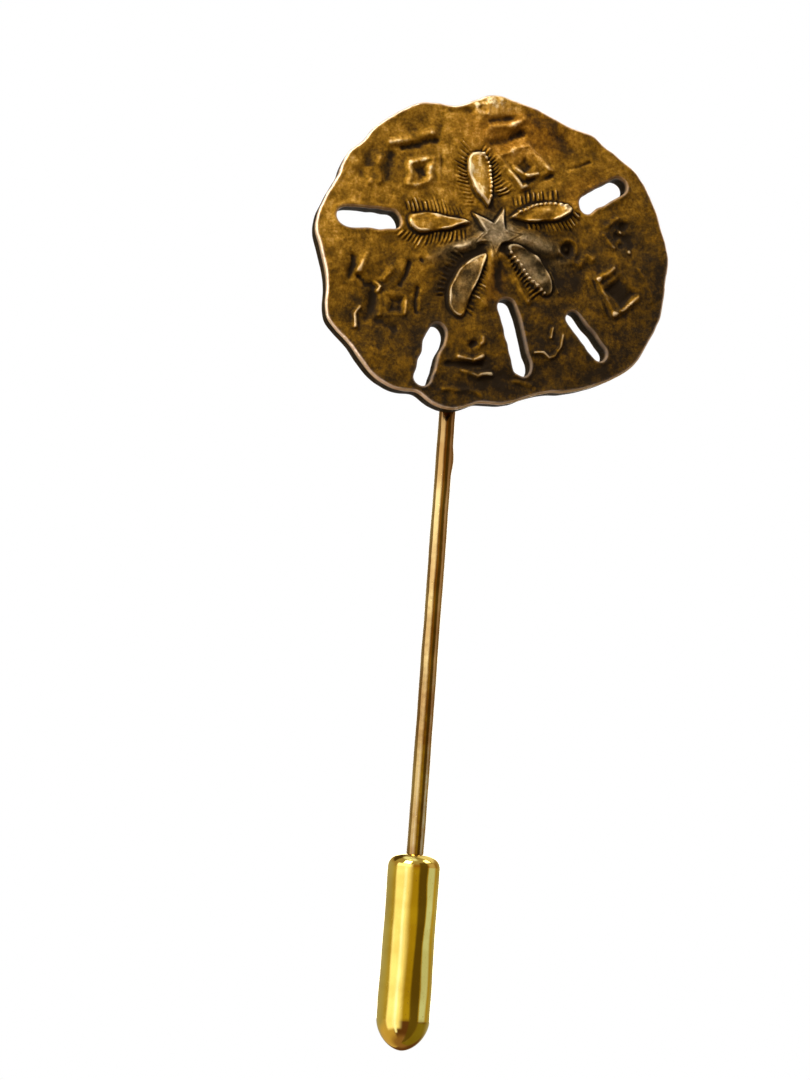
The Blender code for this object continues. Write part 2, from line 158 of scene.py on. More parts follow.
# Lines of the worn pattern: width, height (a groove's is negative), points
LINES = [
    (0.66, 0.13, [(-7.95, 4.89), (-6.45, 5.45), (-5.15, 6.16)]),
    (0.52, -0.09, [(-7.10, 4.58), (-6.30, 4.90), (-4.74, 5.64)]),
    (1.00, -0.07, [(-9.30, 3.90), (-9.55, 2.94), (-9.75, 2.2)]),
    (0.72, 0.07, [(-8.64, 3.45), (-8.60, 1.85)]),
    (0.80, -0.055, [(-7.80, 3.96), (-7.94, 2.2)]),
    (0.52, 0.09, [(-6.37, 3.79), (-5.23, 4.32), (-4.93, 4.28), (-4.89, 2.89)]),
    (0.52, 0.08, [(-6.58, 3.57), (-6.47, 2.24), (-5.84, 2.22), (-4.70, 2.74)]),
    (0.35, 0.06, [(-4.56, 4.49), (-4.43, 3.34), (-3.96, 2.61), (-2.86, 2.58)]),
    (0.58, -0.05, [(-4.50, 6.69), (-4.64, 5.48)]),
    (0.55, -0.05, [(-4.42, 5.06), (-4.29, 3.91)]),
    (0.60, -0.06, [(-3.83, 8.10), (-2.27, 8.27)]),
    (0.49, 0.11, [(-0.12, 5.47), (2.05, 6.52), (3.95, 4.98), (1.75, 3.43), (-0.12, 5.47)]),
    (0.38, 0.09, [(1.25, 4.75), (2.29, 4.44), (2.84, 4.64)]),
    (0.51, -0.11, [(2.32, 3.94), (3.96, 4.80)]),
    (0.72, 0.11, [(-0.81, 7.27), (0.56, 7.71), (1.63, 8.52)]),
    (0.65, -0.12, [(-0.55, 6.26), (0.63, 6.76), (1.61, 7.41)]),
    (0.51, -0.08, [(-0.84, 7.77), (0.06, 8.13), (0.69, 8.53)]),
    (0.65, 0.09, [(3.16, 8.17), (4.16, 7.43), (5.06, 6.77)]),
    (0.61, -0.13, [(4.34, 7.56), (4.85, 7.10), (5.25, 6.80)]),
    (0.35, -0.06, [(5.16, 5.30), (5.90, 5.62), (6.82, 6.17)]),
    (0.46, 0.08, [(9.07, 2.49), (8.35, 1.71)]),
    (0.46, 0.08, [(8.20, 1.04), (8.91, 0.33)]),
    (0.50, 0.06, [(4.58, -0.32), (4.76, -0.84)]),
    (0.50, 0.05, [(5.04, -1.57), (5.96, -1.23)]),
    (0.70, 0.09, [(6.49, -1.37), (6.86, -0.68), (7.26, -0.92)]),
    (0.61, 0.09, [(-8.99, -3.21), (-9.41, -4.51)]),
    (0.52, 0.09, [(-7.24, -3.97), (-7.62, -4.74)]),
    (0.46, -0.11, [(-6.12, -3.42), (-6.23, -4.24), (-6.53, -5.00)]),
    (0.58, -0.09, [(-9.97, -3.64), (-10.06, -5.15)]),
    (0.58, -0.10, [(-9.37, -4.95), (-8.81, -5.42), (-8.32, -5.39)]),
    (0.41, 0.13, [(-8.20, -5.23), (-7.92, -5.41), (-8.03, -5.73)]),
    (0.87, -0.11, [(-8.35, -6.09), (-8.55, -7.53)]),
    (0.38, 0.12, [(-9.25, -6.94), (-9.52, -7.51), (-9.44, -8.46)]),
    (0.43, 0.09, [(-6.06, -6.16), (-6.07, -6.95)]),
    (0.43, 0.08, [(-7.82, -6.18), (-7.78, -7.23)]),
    (0.46, -0.11, [(-5.22, -5.13), (-5.11, -6.62)]),
    (0.35, 0.08, [(-4.99, -5.89), (-4.94, -6.42)]),
    (0.72, -0.09, [(-7.82, -7.76), (-6.65, -8.01)]),
    (0.43, 0.05, [(-8.47, -9.52), (-7.90, -10.04), (-6.65, -10.28)]),
    (0.50, 0.08, [(-0.33, -7.71), (-0.34, -8.07), (-0.77, -8.53)]),
    (0.45, 0.11, [(-1.93, -9.42), (-0.91, -9.62), (-0.27, -9.16)]),
    (0.52, -0.10, [(-2.65, -10.02), (-1.30, -9.90), (-0.22, -9.73)]),
    (0.45, 0.10, [(-1.72, -10.36), (-0.47, -10.74), (0.45, -10.29)]),
    (0.38, 0.07, [(-2.96, -11.82), (-1.18, -11.55), (-0.25, -11.85)]),
    (1.30, 0.17, [(-0.05, -1.0), (-0.35, -3.4), (-0.6, -5.2)]),
    (0.65, 0.12, [(0.77, -1.80), (1.49, -2.94), (2.12, -4.00), (2.82, -4.70)]),
    (0.80, 0.09, [(-0.8, -0.7), (-2.49, -1.75), (-4.6, -2.75)]),
    (0.75, 0.13, [(-0.8, -0.7), (-2.6, -1.8)]),
    (1.30, 0.20, [(1.2, -0.15), (2.6, -0.35), (4.0, -0.7)]),
    (0.22, 0.09, [(4.30, -2.46), (4.58, -3.14), (5.00, -3.80)]),
    (0.55, 0.12, [(7.88, -2.23), (8.96, -1.27)]),
    (0.55, 0.12, [(7.93, -2.40), (8.17, -3.18), (9.22, -4.65)]),
    (0.55, 0.13, [(9.31, -4.64), (10.85, -3.15)]),
    (0.41, 0.07, [(10.82, -1.09), (11.78, -2.50), (12.01, -3.19)]),
    (0.43, 0.05, [(7.12, -2.35), (7.98, -3.94), (8.46, -4.78)]),
    (0.32, 0.08, [(3.53, -8.31), (4.08, -8.22), (4.48, -8.56), (5.02, -8.34), (5.35, -7.62), (5.47, -6.70)]),
    (0.32, 0.07, [(4.65, -7.01), (4.70, -6.29)]),
    (0.32, 0.06, [(2.28, -10.15), (3.17, -9.83)]),
    (0.32, 0.06, [(2.21, -10.60), (3.50, -10.58)]),
]
# Square pits: centre, half a side, turn in degrees, depth
PITS = [
    ((-5.60, 3.17), 0.46, 22, 0.06),
    ((1.90, 5.15), 0.46, 45, 0.13),
    ((-6.75, -6.45), 0.50, 3, 0.17),
    ((9.60, -2.90), 0.80, 48, 0.17),
]
# Round dents and bumps: centre, radius, height
SPOTS = [
    ((-10.15, 2.36), 0.5, -0.03),
    ((-9.27, 1.86), 0.3, 0.07),
    ((5.44, -0.45), 0.55, -0.16),
    ((5.38, -0.38), 0.2, 0.1),
    ((-0.96, -8.34), 0.42, -0.13),
    ((9.6, 1.9), 0.45, -0.12),
    ((9.9, 1.1), 0.5, -0.14),
    ((9.2, 1.2), 0.35, -0.1),
    ((10.3, 0.7), 0.35, -0.1),
    ((9.5, 0.45), 0.3, -0.08),
    ((10.1, 0.05), 0.22, 0.1),
    ((9.4, 1.5), 0.16, 0.08),
    ((-1.94, 8.75), 0.3, 0.06),
    ((-0.9, 9.2), 0.4, 0.07),
    ((-0.2, 9.4), 0.35, 0.06),
    ((0.5, 9.3), 0.28, 0.04),
    ((-5.1, -3.0), 0.25, -0.07),
]
# Rings: centre, radius, width, height
RINGS = [
    ((-1.47, 8.5), 0.38, 0.3, 0.05),
    ((5.42, -0.42), 0.62, 0.45, 0.045),
]

# Edges: how far they are rounded over, and the raised lip round each slot
RIM_ROUNDING = 0.16
SLOT_ROUNDING = 0.1
BACK_ROUNDING = 0.05
SLOT_LIP = 0.06
SLOT_LIP_INSET = 0.2
SLOT_LIP_WIDTH = 0.14
# How far apart the two outline points are, either way, that give the direction into the metal
NORMAL_REACH = 4
# Waves of the cast edge: how many to a millimetre, and their size on the rim and round the slots
EDGE_WAVES = 1.1
RIM_WAVE = 0.05
SLOT_WAVE = 0.13
# How much the slots' edges are worn, where the rim's is 1
SLOT_WEAR = 0.2
# Rings of points inside the front's outlines, and down the walls as shares of the thickness. The draft
# is how far the walls lean in on their way to the back, and their waves are counted to a millimetre
# along them and over the whole way down
EDGE_RINGS = (0.015, 0.045, 0.09, 0.15)
WALL_RINGS = (0.72, 0.4, 0.12)
WALL_DRAFT = 0.05
WALL_WAVE = 0.03
WAVES_ALONG = 0.9
WAVES_DOWN = 5

# The head's mesh: spacing of its points where the pattern is fine, where it is plain, round its
# outlines and behind. The pattern is fine where it is steeper than the fine slope
FINE_SPACING = 0.064
PLAIN_SPACING = 0.12
OUTLINE_SPACING = 0.085
BACK_SPACING = 0.3
FINE_SLOPE = 0.11
# The back: depth of its dents, and how far from the pad's middle it is flat and fully dented
BACK_DENT = 0.03
FLAT_BACK = 2.5
DENTED_BACK = 3.6

# The wire: its point, its filed end, the small swelling on its right, and how uneven its radius is
POINT_LENGTH = 4.5
TIP_RADIUS = 0.05
WIRE_END_ROUNDING = 0.14
SWELL_Z = -16.1
SWELL_HALF = 1.0
SWELL_SIZE = 0.12
WIRE_DRIFT = 0.02
WIRE_RIPPLE = 0.03
# The clutch: how far its waves reach from the middle of its side, fully and at all, and their size
DRAWN_SIDE = (3.6, 5.4)
SHELL_WAVE = 0.024
# The pad: its rolled edge, the border round its face, and how long and how deep the step down to the
# face is
PAD_ROUNDING = 0.12
PAD_BORDER = 0.42
PAD_STEP_RUN = 0.08
PAD_STEP = 0.03
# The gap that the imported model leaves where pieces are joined, and the longest line of a turned profile
JOINT_GAP = 0.0125
TURNED_SPACING = 0.3

# The patina, from 0 for bare metal to 1, with painted shade laid into it: on the front's middle, how the
# painted shade thickens it there per millimetre to the right and upwards, darkening the front towards
# the lower right, how much the painted shade patches and rubbing change it, and on the walls and behind
FRONT_PATINA = 0.62
PAINTED_SHADE_SLOPE = (0.013, -0.021)
PAINTED_SHADE_AMOUNT = 0.25
RUBBED_PATINA = -0.2
WALL_PATINA = 1.1
BACK_PATINA = 0.45
# How far a crest stands over what is round it, where it is rubbed most
FULL_RELIEF = 0.12
# Patches of colour on the head: centre, half-sizes, turn in degrees, strength
SILVER_PATCHES = [
    ((0.1, -0.2), (2.1, 1.5), 0, 1.0),
    ((2.8, -0.6), (2.6, 0.9), -8, 0.9),
    ((3.0, -2.3), (2.6, 1.1), -43, 0.9),
    ((-2.2, -1.7), (2.8, 0.7), 28, 0.8),
    ((4.6, -1.6), (1.3, 1.0), 0, 0.5),
    ((-2.0, -4.4), (2.8, 0.9), 65, 0.6),
]
# Painted shade: patches that thicken the patina to darken the front where shade falls, such as under the
# star's arms, in the diamond pit and between the petals
PAINTED_SHADE_PATCHES = [
    ((9.5, 1.2), (1.8, 1.6), 0, 1.0),
    ((-8.6, 3.2), (1.9, 1.6), 0, 1.0),
    ((5.3, -2.2), (1.8, 2.4), 0, 0.8),
    ((-3.4, -4.0), (1.0, 2.6), -25, 1.0),
    ((0.0, -10.4), (3.2, 1.6), 0, 0.5),
    ((3.5, 7.6), (3.0, 1.2), -30, 0.8),
    ((-7.6, -7.6), (4.6, 4.0), -20, 0.2),
    ((-7.5, 5.2), (4.5, 2.2), 40, 0.3),
    ((-6.6, 6.9), (2.4, 0.9), 25, 0.6),
    ((-0.4, 2.0), (0.9, 0.8), 0, 0.9),
    ((0.95, -1.2), (0.9, 0.5), 0, 1.0),
    ((-1.3, -1.75), (1.3, 0.45), 30, 1.0),
    ((0.45, -3.3), (0.4, 1.6), 18, 0.9),
    ((9.6, -2.9), (0.8, 0.8), 0, 1.0),
]
RUBBED_PATCHES = [
    ((-4.5, 3.2), (2.4, 1.8), 0, 0.3),
    ((-0.8, 9.0), (2.2, 0.9), 5, 1.0),
    ((1.4, 5.6), (2.4, 1.6), 0, 0.5),
    ((-1.6, 3.4), (1.1, 2.2), 15, 1.0),
    ((4.2, 2.1), (2.0, 0.9), 20, 0.8),
    ((0.1, -0.1), (1.3, 1.1), 0, 1.0),
    ((-0.25, -3.2), (0.5, 2.2), -5, 1.0),
    ((2.5, -2.4), (1.7, 0.7), -43, 1.0),
]
WARM_PATCHES = [
    ((1.2, 7.2), (4.6, 2.2), 5, 1.0),
    ((0.3, -4.0), (0.9, 2.2), 0, 0.7),
    ((6.5, 3.9), (2.5, 1.4), 30, 0.4),
]

# ---------------------------------------------- the view, in degrees and millimetres
VIEW_AZIMUTH = -17.0
VIEW_ELEVATION = -10.0
VIEW_ROLL = 4.355
VIEW_LENS = 66.67
VIEW_SENSOR = 36.0
VIEW_DISTANCE = 136.42
VIEW_SHIFT = (-4.145, 1.363)
FLOOR_SIZE = 6.0
FLOOR_MARGIN = 0.012

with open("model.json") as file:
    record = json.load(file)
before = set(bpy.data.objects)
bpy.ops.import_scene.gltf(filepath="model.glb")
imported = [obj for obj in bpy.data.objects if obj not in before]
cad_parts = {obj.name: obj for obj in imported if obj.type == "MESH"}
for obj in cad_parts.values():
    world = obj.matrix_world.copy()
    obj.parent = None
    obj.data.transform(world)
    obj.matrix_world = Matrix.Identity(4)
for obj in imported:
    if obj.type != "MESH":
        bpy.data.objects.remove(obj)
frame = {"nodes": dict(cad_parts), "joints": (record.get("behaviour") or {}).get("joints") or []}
cad_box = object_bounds()
cad_middle = (cad_box[0] + cad_box[1]) / 2


# ---------------------------------------------- small tools
def fade(x, start, end):
    """Falls smoothly from 1 at start to 0 at end."""
    t = np.clip((x - start) / (end - start), 0.0, 1.0)
    return 1.0 - t * t * (3.0 - 2.0 * t)


def bell(x, centre, width):
    """A smooth hump with a height of 1 at its centre."""
    return np.exp(-(((x - centre) / width) ** 2))


def box_mm(node):
    """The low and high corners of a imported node's box."""
    low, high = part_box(node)
    return np.array(low) / MM, np.array(high) / MM


def centre_mm(node):
    """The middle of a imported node's box."""
    low, high = box_mm(node)
    return (low + high) / 2


def waves(places):
    """Smooth random values about 0, which swing about once in each unit of the places."""
    return np.array([noise.noise(Vector(place)) for place in places])


def line_distance(u, v, points):
    """The distance from each place to a run of straight lines."""
    points = np.asarray(points, float)
    nearest = np.full(u.shape, np.inf)
    for start, end in zip(points, points[1:]):
        length = np.hypot(*(end - start))
        du, dv = (end - start) / length
        t = np.clip((u - start[0]) * du + (v - start[1]) * dv, 0.0, length)
        nearest = np.minimum(nearest, np.hypot(u - start[0] - t * du, v - start[1] - t * dv))
    return nearest


def inside(u, v, outline):
    """Whether each place is inside a closed outline."""
    result = np.zeros(u.shape, bool)
    for (au, av), (bu, bv) in zip(outline, np.roll(outline, -1, axis=0)):
        if av != bv:
            crosses = (av > v) != (bv > v)
            result ^= crosses & (u < (bu - au) * (v - av) / (bv - av) + au)
    return result


def signed_distance(u, v, outline):
    """The distance to a closed outline, negative inside it."""
    outline = np.asarray(outline, float)
    distance = line_distance(u, v, np.vstack([outline, outline[:1]]))
    return np.where(inside(u, v, outline), -distance, distance)


def turned_points(points, degrees):
    """The points turned anticlockwise about the origin."""
    angle = math.radians(degrees)
    turn = np.array([[math.cos(angle), math.sin(angle)], [-math.sin(angle), math.cos(angle)]])
    return np.asarray(points, float) @ turn


def along_run(points, share):
    """The place at this share of the length of a run of straight lines."""
    points = np.asarray(points, float)
    lengths = np.hypot(*np.diff(points, axis=0).T)
    reached = np.concatenate([[0.0], np.cumsum(lengths)]) / lengths.sum()
    return np.array([np.interp(share, reached, points[:, k]) for k in (0, 1)])


# ---------------------------------------------- the sheet of heights
class Sheet:
    """Heights over the head's front, which shapes are pressed into one after another."""

    def __init__(self, random):
        across = SHEET_LEFT + CELL * np.arange(SHEET_COLUMNS)
        up = SHEET_BOTTOM + CELL * np.arange(SHEET_ROWS)
        self.u, self.v = np.meshgrid(across, up)
        self.height = np.zeros_like(self.u)
        # Shapes are pressed through slightly bent coordinates, so that none has ruled edges
        bend_u, bend_v = self.grain(random, 0.42), self.grain(random, 0.42)
        self.u += WARP * bend_u
        self.v += WARP * bend_v

    def area(self, points, reach):
        """The rows and columns within reach of the points."""
        points = np.asarray(points, float)
        corner = np.array([SHEET_LEFT, SHEET_BOTTOM])
        low = np.maximum(np.floor((points.min(0) - reach - corner) / CELL).astype(int), 0)
        high = np.ceil((points.max(0) + reach - corner) / CELL).astype(int) + 1
        return np.s_[low[1] : high[1], low[0] : high[0]]

    def line(self, points, width, height):
        """Raises a rounded ridge, or sinks a groove where the height is negative."""
        area = self.area(points, width)
        distance = line_distance(self.u[area], self.v[area], points)
        self.height[area] += height * fade(distance, 0.0, 0.75 * width)

    def spot(self, centre, radius, height):
        """Raises a round bump, or sinks a dent where the height is negative."""
        area = self.area([centre], radius * 1.5)
        distance = np.hypot(self.u[area] - centre[0], self.v[area] - centre[1])
        self.height[area] += height * fade(distance, 0.2 * radius, 1.3 * radius)

    def ring(self, centre, radius, width, height):
        """Raises a ring."""
        area = self.area([centre], radius + width)
        distance = np.abs(np.hypot(self.u[area] - centre[0], self.v[area] - centre[1]) - radius)
        self.height[area] += height * fade(distance, 0.1 * width, 0.72 * width)

    def pit(self, centre, half, degrees, depth):
        """Sinks a square pit with sloping walls and a lip round it."""
        square = [(-half, -half), (half, -half), (half, half), (-half, half)]
        corners = turned_points(square, degrees) + centre
        area = self.area(corners, half)
        distance = signed_distance(self.u[area], self.v[area], corners)
        self.height[area] -= depth * fade(distance, -0.28, 0.08)
        self.height[area] += 0.3 * depth * fade(np.abs(distance - 0.22), 0.0, 0.26)

    def smoothed(self, values, reach):
        """The values averaged over this reach."""
        rows = np.fft.fftfreq(values.shape[0], CELL)[:, None]
        columns = np.fft.rfftfreq(values.shape[1], CELL)[None, :]
        keep = np.exp(-2 * (math.pi * reach) ** 2 * (rows**2 + columns**2))
        return np.fft.irfft2(np.fft.rfft2(values) * keep, s=values.shape)

    def grain(self, random, size):
        """Random lumps of this size, with an average height of 0 and a spread of 1."""
        lumps = self.smoothed(random.standard_normal(self.u.shape), size)
        return (lumps - lumps.mean()) / lumps.std()

    def sample(self, values, points):
        """The values at these head points, read between the cells."""
        x = np.clip((points[:, 0] - SHEET_LEFT) / CELL, 0, SHEET_COLUMNS - 1.001)
        y = np.clip((points[:, 1] - SHEET_BOTTOM) / CELL, 0, SHEET_ROWS - 1.001)
        column, row = x.astype(int), y.astype(int)
        fx, fy = x - column, y - row
        low = values[row, column] * (1 - fx) + values[row, column + 1] * fx
        high = values[row + 1, column] * (1 - fx) + values[row + 1, column + 1] * fx
        return low * (1 - fy) + high * fy


def petal_outline(inner, outer, width, opening, closing, bow):
    """The right and the left side of a leaf shape that may bow to its left."""
    inner, outer = np.array(inner), np.array(outer)
    along = outer - inner
    across = np.array([-along[1], along[0]]) / np.hypot(*along)
    share = (1 - np.cos(math.pi * np.arange(PETAL_STEPS + 1) / PETAL_STEPS)) / 2
    widest = opening / (opening + closing)
    fullness = (share / widest) ** opening * ((1 - share) / (1 - widest)) ** closing
    middle = inner + share[:, None] * along + (4 * bow * share * (1 - share))[:, None] * across
    half = (width / 2 * fullness)[:, None] * across
    return middle - half, middle + half


def rounded_rise(depth, rounding):
    """Rises from 0 at the edge to 1 at this depth, as a quarter circle does."""
    return np.sqrt(1 - (1 - np.clip(depth / rounding, 0, 1)) ** 2)


def lay_over(sheet, area, surface, depth, groove, outside):
    """Lays a raised shape over the sheet, out to this far outside its outline, with a groove round it."""
    on_it = fade(-depth, -0.05, outside)
    around = sheet.height[area] - groove * bell(depth, *GROOVE_PLACE)
    sheet.height[area] = surface * on_it + around * (1 - on_it)


def press_petal(sheet, grain, inner, outer, width, opening, closing, bow, bead_side):
    """A domed petal with a thin raised edge, a groove round it, and a row of beads along one side."""
    right, left = petal_outline(inner, outer, width, opening, closing, bow)
    outline = np.vstack([right, left[-2:0:-1]])
    area = sheet.area(outline, 0.6)
    depth = -signed_distance(sheet.u[area], sheet.v[area], outline)
    rise = rounded_rise(depth, PETAL_ROUNDING)
    worn_rim = PETAL_RIM * np.clip(1 + 0.6 * grain[area], 0, 1.8)
    surface = (PETAL_HEIGHT + 0.06 * grain[area]) * rise + worn_rim * bell(depth, *PETAL_RIM_PLACE)
    lay_over(sheet, area, surface, depth, PETAL_GROOVE, 0.05)
    if not bead_side:
        return
    side = right if bead_side > 0 else left
    middle = (np.array(inner) + np.array(outer)) / 2
    for share in np.linspace(0.14, 0.9, BEADS):
        place = along_run(side, share)
        inward = (middle - place) / np.hypot(*(middle - place))
        sheet.spot(place + BEAD_INSET * inward, BEAD_RADIUS, BEAD_HEIGHT)


def press_star(sheet):
    """Five arms that meet in the middle, with a thin raised edge and a groove round them."""
    tips = [np.array(tip) for tip in STAR_TIPS]
    outline = []
    for tip, following in zip(tips, tips[1:] + tips[:1]):
        between = tip / np.hypot(*tip) + following / np.hypot(*following)
        outline += [tip, STAR_MIDDLE + between / np.hypot(*between) * STAR_VALLEY]
    area = sheet.area(outline, 0.5)
    depth = -signed_distance(sheet.u[area], sheet.v[area], outline)
    roof = STAR_HEIGHT * rounded_rise(depth, STAR_ROUNDING) + STAR_RIM * bell(depth, *STAR_RIM_PLACE)
    lay_over(sheet, area, np.maximum(roof, 0.5 * sheet.height[area]), depth, STAR_GROOVE, 0.04)


def press_comb(sheet, random, inner_run, outer_run, count):
    """Grooves with low ridges between them, each worn to its own length and height."""
    spacing = 1 / (2 * count - 2)
    for k, share in enumerate(np.linspace(0, 1, 2 * count - 1)):
        share = np.clip(share + random.uniform(-0.22, 0.22) * spacing, 0, 1)
        start, end = along_run(inner_run, share), along_run(outer_run, share)
        end = start + (end - start) * random.uniform(0.6, 1.15)
        height = random.uniform(0.45, 1.2) * (COMB_RIDGE if k % 2 else -COMB_GROOVE)
        sheet.line([start, start * 0.25 + end * 0.75], COMB_WIDTH, height)
        sheet.line([start, end], COMB_WIDTH, 0.35 * height)


def head_sheet(random):
    """The whole pattern of the head's front."""
    sheet = Sheet(random)
    swell, lumps, fine = sheet.grain(random, 1.3), sheet.grain(random, 0.34), sheet.grain(random, 0.1)
    for width, height, points in LINES:
        sheet.line(points, width, height)
    for pit in PITS:
        sheet.pit(*pit)
    for spot in SPOTS:
        sheet.spot(*spot)
    for ring in RINGS:
        sheet.ring(*ring)
    for comb in COMBS:
        press_comb(sheet, random, *comb)
    # The pattern is worn, so its crests are lower in some places than in others
    sheet.height *= PATTERN_RELIEF * (1.0 + 0.25 * sheet.grain(random, 0.7))
    for petal in PETALS:
        press_petal(sheet, lumps, *petal)
    press_star(sheet)
    sheet.height += 0.06 * swell + 0.02 * lumps + 0.005 * fine
    return sheet


# ---------------------------------------------- the head's outlines
def back_loops():
    """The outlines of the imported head's flat back as head points, anticlockwise, the rim first."""
    bm = bmesh.new()
    bm.from_mesh(frame["nodes"]["sand_dollar_head"].data)
    bmesh.ops.remove_doubles(bm, verts=bm.verts[:], dist=1e-6)
    back = {face for face in bm.faces if all(abs(vert.co.y) < 1e-6 for vert in face.verts)}
    linked = {}
    for edge in bm.edges:
        if sum(face in back for face in edge.link_faces) == 1:
            for vert in edge.verts:
                linked.setdefault(vert, []).append(edge.other_vert(vert))
    loops = []
    left = set(linked)
    while left:
        first = min(left, key=lambda vert: vert.index)
        loop, vert = [], first
        while vert in left:
            left.discard(vert)
            loop.append((vert.co.x / MM - STAR_FROM_WIRE, vert.co.z / MM))
            vert = next((other for other in linked[vert] if other in left), first)
        loop = np.array(loop)
        following = np.roll(loop, -1, axis=0)
        turns_left = (loop[:, 0] * following[:, 1] - following[:, 0] * loop[:, 1]).sum() > 0
        loops.append(loop if turns_left else loop[::-1])
    bm.free()
    return sorted(loops, key=lambda loop: -np.ptp(loop, axis=0).max())


def even_loop(loop, spacing, rounds):
    """The same loop with its points this far apart, after this many rounds of smoothing."""
    closed = np.vstack([loop, loop[:1]])
    reached = np.concatenate([[0.0], np.cumsum(np.hypot(*np.diff(closed, axis=0).T))])
    places = np.linspace(0, reached[-1], round(reached[-1] / spacing), endpoint=False)
    even = np.stack([np.interp(places, reached, closed[:, k]) for k in (0, 1)], axis=1)
    for _ in range(rounds):
        even = 0.5 * even + 0.25 * (np.roll(even, 1, axis=0) + np.roll(even, -1, axis=0))
    return even


def loop_normals(loop, towards_middle):
    """Unit vectors across the loop, into the metal."""
    along = np.roll(loop, -NORMAL_REACH, axis=0) - np.roll(loop, NORMAL_REACH, axis=0)
    left = np.stack([-along[:, 1], along[:, 0]], axis=1) / np.hypot(*along.T)[:, None]
    return left if towards_middle else -left


def cast_outline(loop, is_rim):
    """An outline with the slight waves of a cast edge, and the directions into the metal."""
    even = even_loop(loop, OUTLINE_SPACING, 10 if is_rim else 4)
    swings = waves([(u * EDGE_WAVES, v * EDGE_WAVES, 3.0) for u, v in even])
    size = RIM_WAVE if is_rim else SLOT_WAVE
    even = even + loop_normals(even, is_rim) * size * swings[:, None]
    return even, loop_normals(even, is_rim)


def hex_points(low, high, spacing):
    """Points in staggered rows that cover a box."""
    rows = np.arange(low[1], high[1], spacing * math.sqrt(0.75))
    columns = np.arange(low[0], high[0], spacing)
    u, v = np.meshgrid(columns, rows)
    u[1::2] += spacing / 2
    return np.stack([u.ravel(), v.ravel()], axis=1)


def depth_in_metal(points, edge_points, edge_normals):
    """How far inside the metal each point is (negative outside it), and its nearest outline point."""
    tree = kdtree.KDTree(len(edge_points))
    for i, (u, v) in enumerate(edge_points):
        tree.insert((u, v, 0.0), i)
    tree.balance()
    nearest = np.array([tree.find((u, v, 0.0))[1] for u, v in points])
    away = points - edge_points[nearest]
    sign = np.sign((away * edge_normals[nearest]).sum(1))
    return sign * np.hypot(*away.T), nearest


def filled(points, loop_sizes, outlines):
    """Triangles in the metal, over points whose first ones are the closed outlines."""
    edges, first = [], 0
    for size in loop_sizes:
        edges += [(first + i, first + (i + 1) % size) for i in range(size)]
        first += size
    result = delaunay_2d_cdt([Vector(point) for point in points], edges, [], 0, 1e-7, False)
    triangles = np.array(result[2])
    # A triangle with a point off the outlines is in the metal. The others are tested by their middles
    doubtful = np.flatnonzero((triangles < first).all(axis=1))
    middles = points[triangles[doubtful]].mean(axis=1)
    in_metal = inside(middles[:, 0], middles[:, 1], outlines[0])
    for slot in outlines[1:]:
        in_metal &= ~inside(middles[:, 0], middles[:, 1], slot)
    keep = np.ones(len(triangles), bool)
    keep[doubtful] = in_metal
    return triangles[keep]


def orient(points, triangles, towards):
    """The triangles with their corners in order: they face -Y where towards is 1, +Y where it is -1."""
    a, b, c = (points[triangles[:, k]] for k in range(3))
    area = (b[:, 0] - a[:, 0]) * (c[:, 1] - a[:, 1]) - (b[:, 1] - a[:, 1]) * (c[:, 0] - a[:, 0])
    wrong = area * towards < 0
    triangles[wrong] = triangles[wrong][:, ::-1]
    return triangles


# ---------------------------------------------- meshes
def new_object(name, points, faces, material, body, node, attributes=None):
    """A smooth mesh from points in millimetres, which stands for a CAD node and rides on its body."""
    mesh = bpy.data.meshes.new(name)
    mesh.from_pydata((np.asarray(points) * MM).tolist(), [], faces)
    mesh.shade_smooth()
    mesh.materials.append(material)
    for key, values in (attributes or {}).items():
        layer = mesh.attributes.new(key, "FLOAT", "POINT")
        layer.data.foreach_set("value", np.asarray(values, np.float32))
    made = bpy.data.objects.new(name, mesh)
    bpy.context.scene.collection.objects.link(made)
    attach(made, body)
    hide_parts(node)
    return made


# ---------------------------------------------- the head
def patch_strength(points, patches):
    """How strong the patches of colour are at each head point, from 0 to 1."""
    strength = np.zeros(len(points))
    for centre, half_sizes, degrees, amount in patches:
        local = turned_points(points - np.array(centre), -degrees) / np.array(half_sizes)
        strength = np.maximum(strength, amount * fade(np.hypot(*local.T), 0.35, 1.25))
    return strength


def on_plane(points, y):
    """Head points as points in space, with their Y."""
    return np.stack([points[:, 0], np.broadcast_to(y, len(points)), points[:, 1]], axis=1)


def ring_quads(first, second, count):
    """The faces between two rings of points, from the numbers of the rings' first points."""
    following = [(i + 1) % count for i in range(count)]
    return [(first + i, first + j, second + j, second + i) for i, j in enumerate(following)]


def front_points(sheet, edge_points, edge_normals):
    """The outlines, rings just inside them, and rows that are finer where the pattern is steep."""
    up, across = np.gradient(sheet.smoothed(sheet.height, 0.05), CELL)
    slope = sheet.smoothed(np.hypot(up, across), 0.16)
    parts = [edge_points] + [edge_points + edge_normals * ring for ring in EDGE_RINGS]
    for spacing, is_fine in ((FINE_SPACING, True), (PLAIN_SPACING, False)):
        rows = hex_points(edge_points.min(0), edge_points.max(0), spacing)
        rows = rows[(sheet.sample(slope, rows) > FINE_SLOPE) == is_fine]
        depth, _ = depth_in_metal(rows, edge_points, edge_normals)
        parts.append(rows[depth > EDGE_RINGS[-1] + 0.03])
    return np.vstack(parts)


def wall_rings(edge_points, edge_normals):
    """Rings of points down the walls, the last of them round the back."""
    rings = []
    for share in WALL_RINGS:
        swings = waves(on_plane(edge_points * WAVES_ALONG, share * WAVES_DOWN))
        inwards = WALL_DRAFT * (1 - share) - WALL_WAVE * swings
        rings.append(on_plane(edge_points + edge_normals * inwards[:, None], -share * HEAD_THICKNESS))
    rings.append(on_plane(edge_points + edge_normals * (WALL_DRAFT + BACK_ROUNDING), 0.0))
    return rings


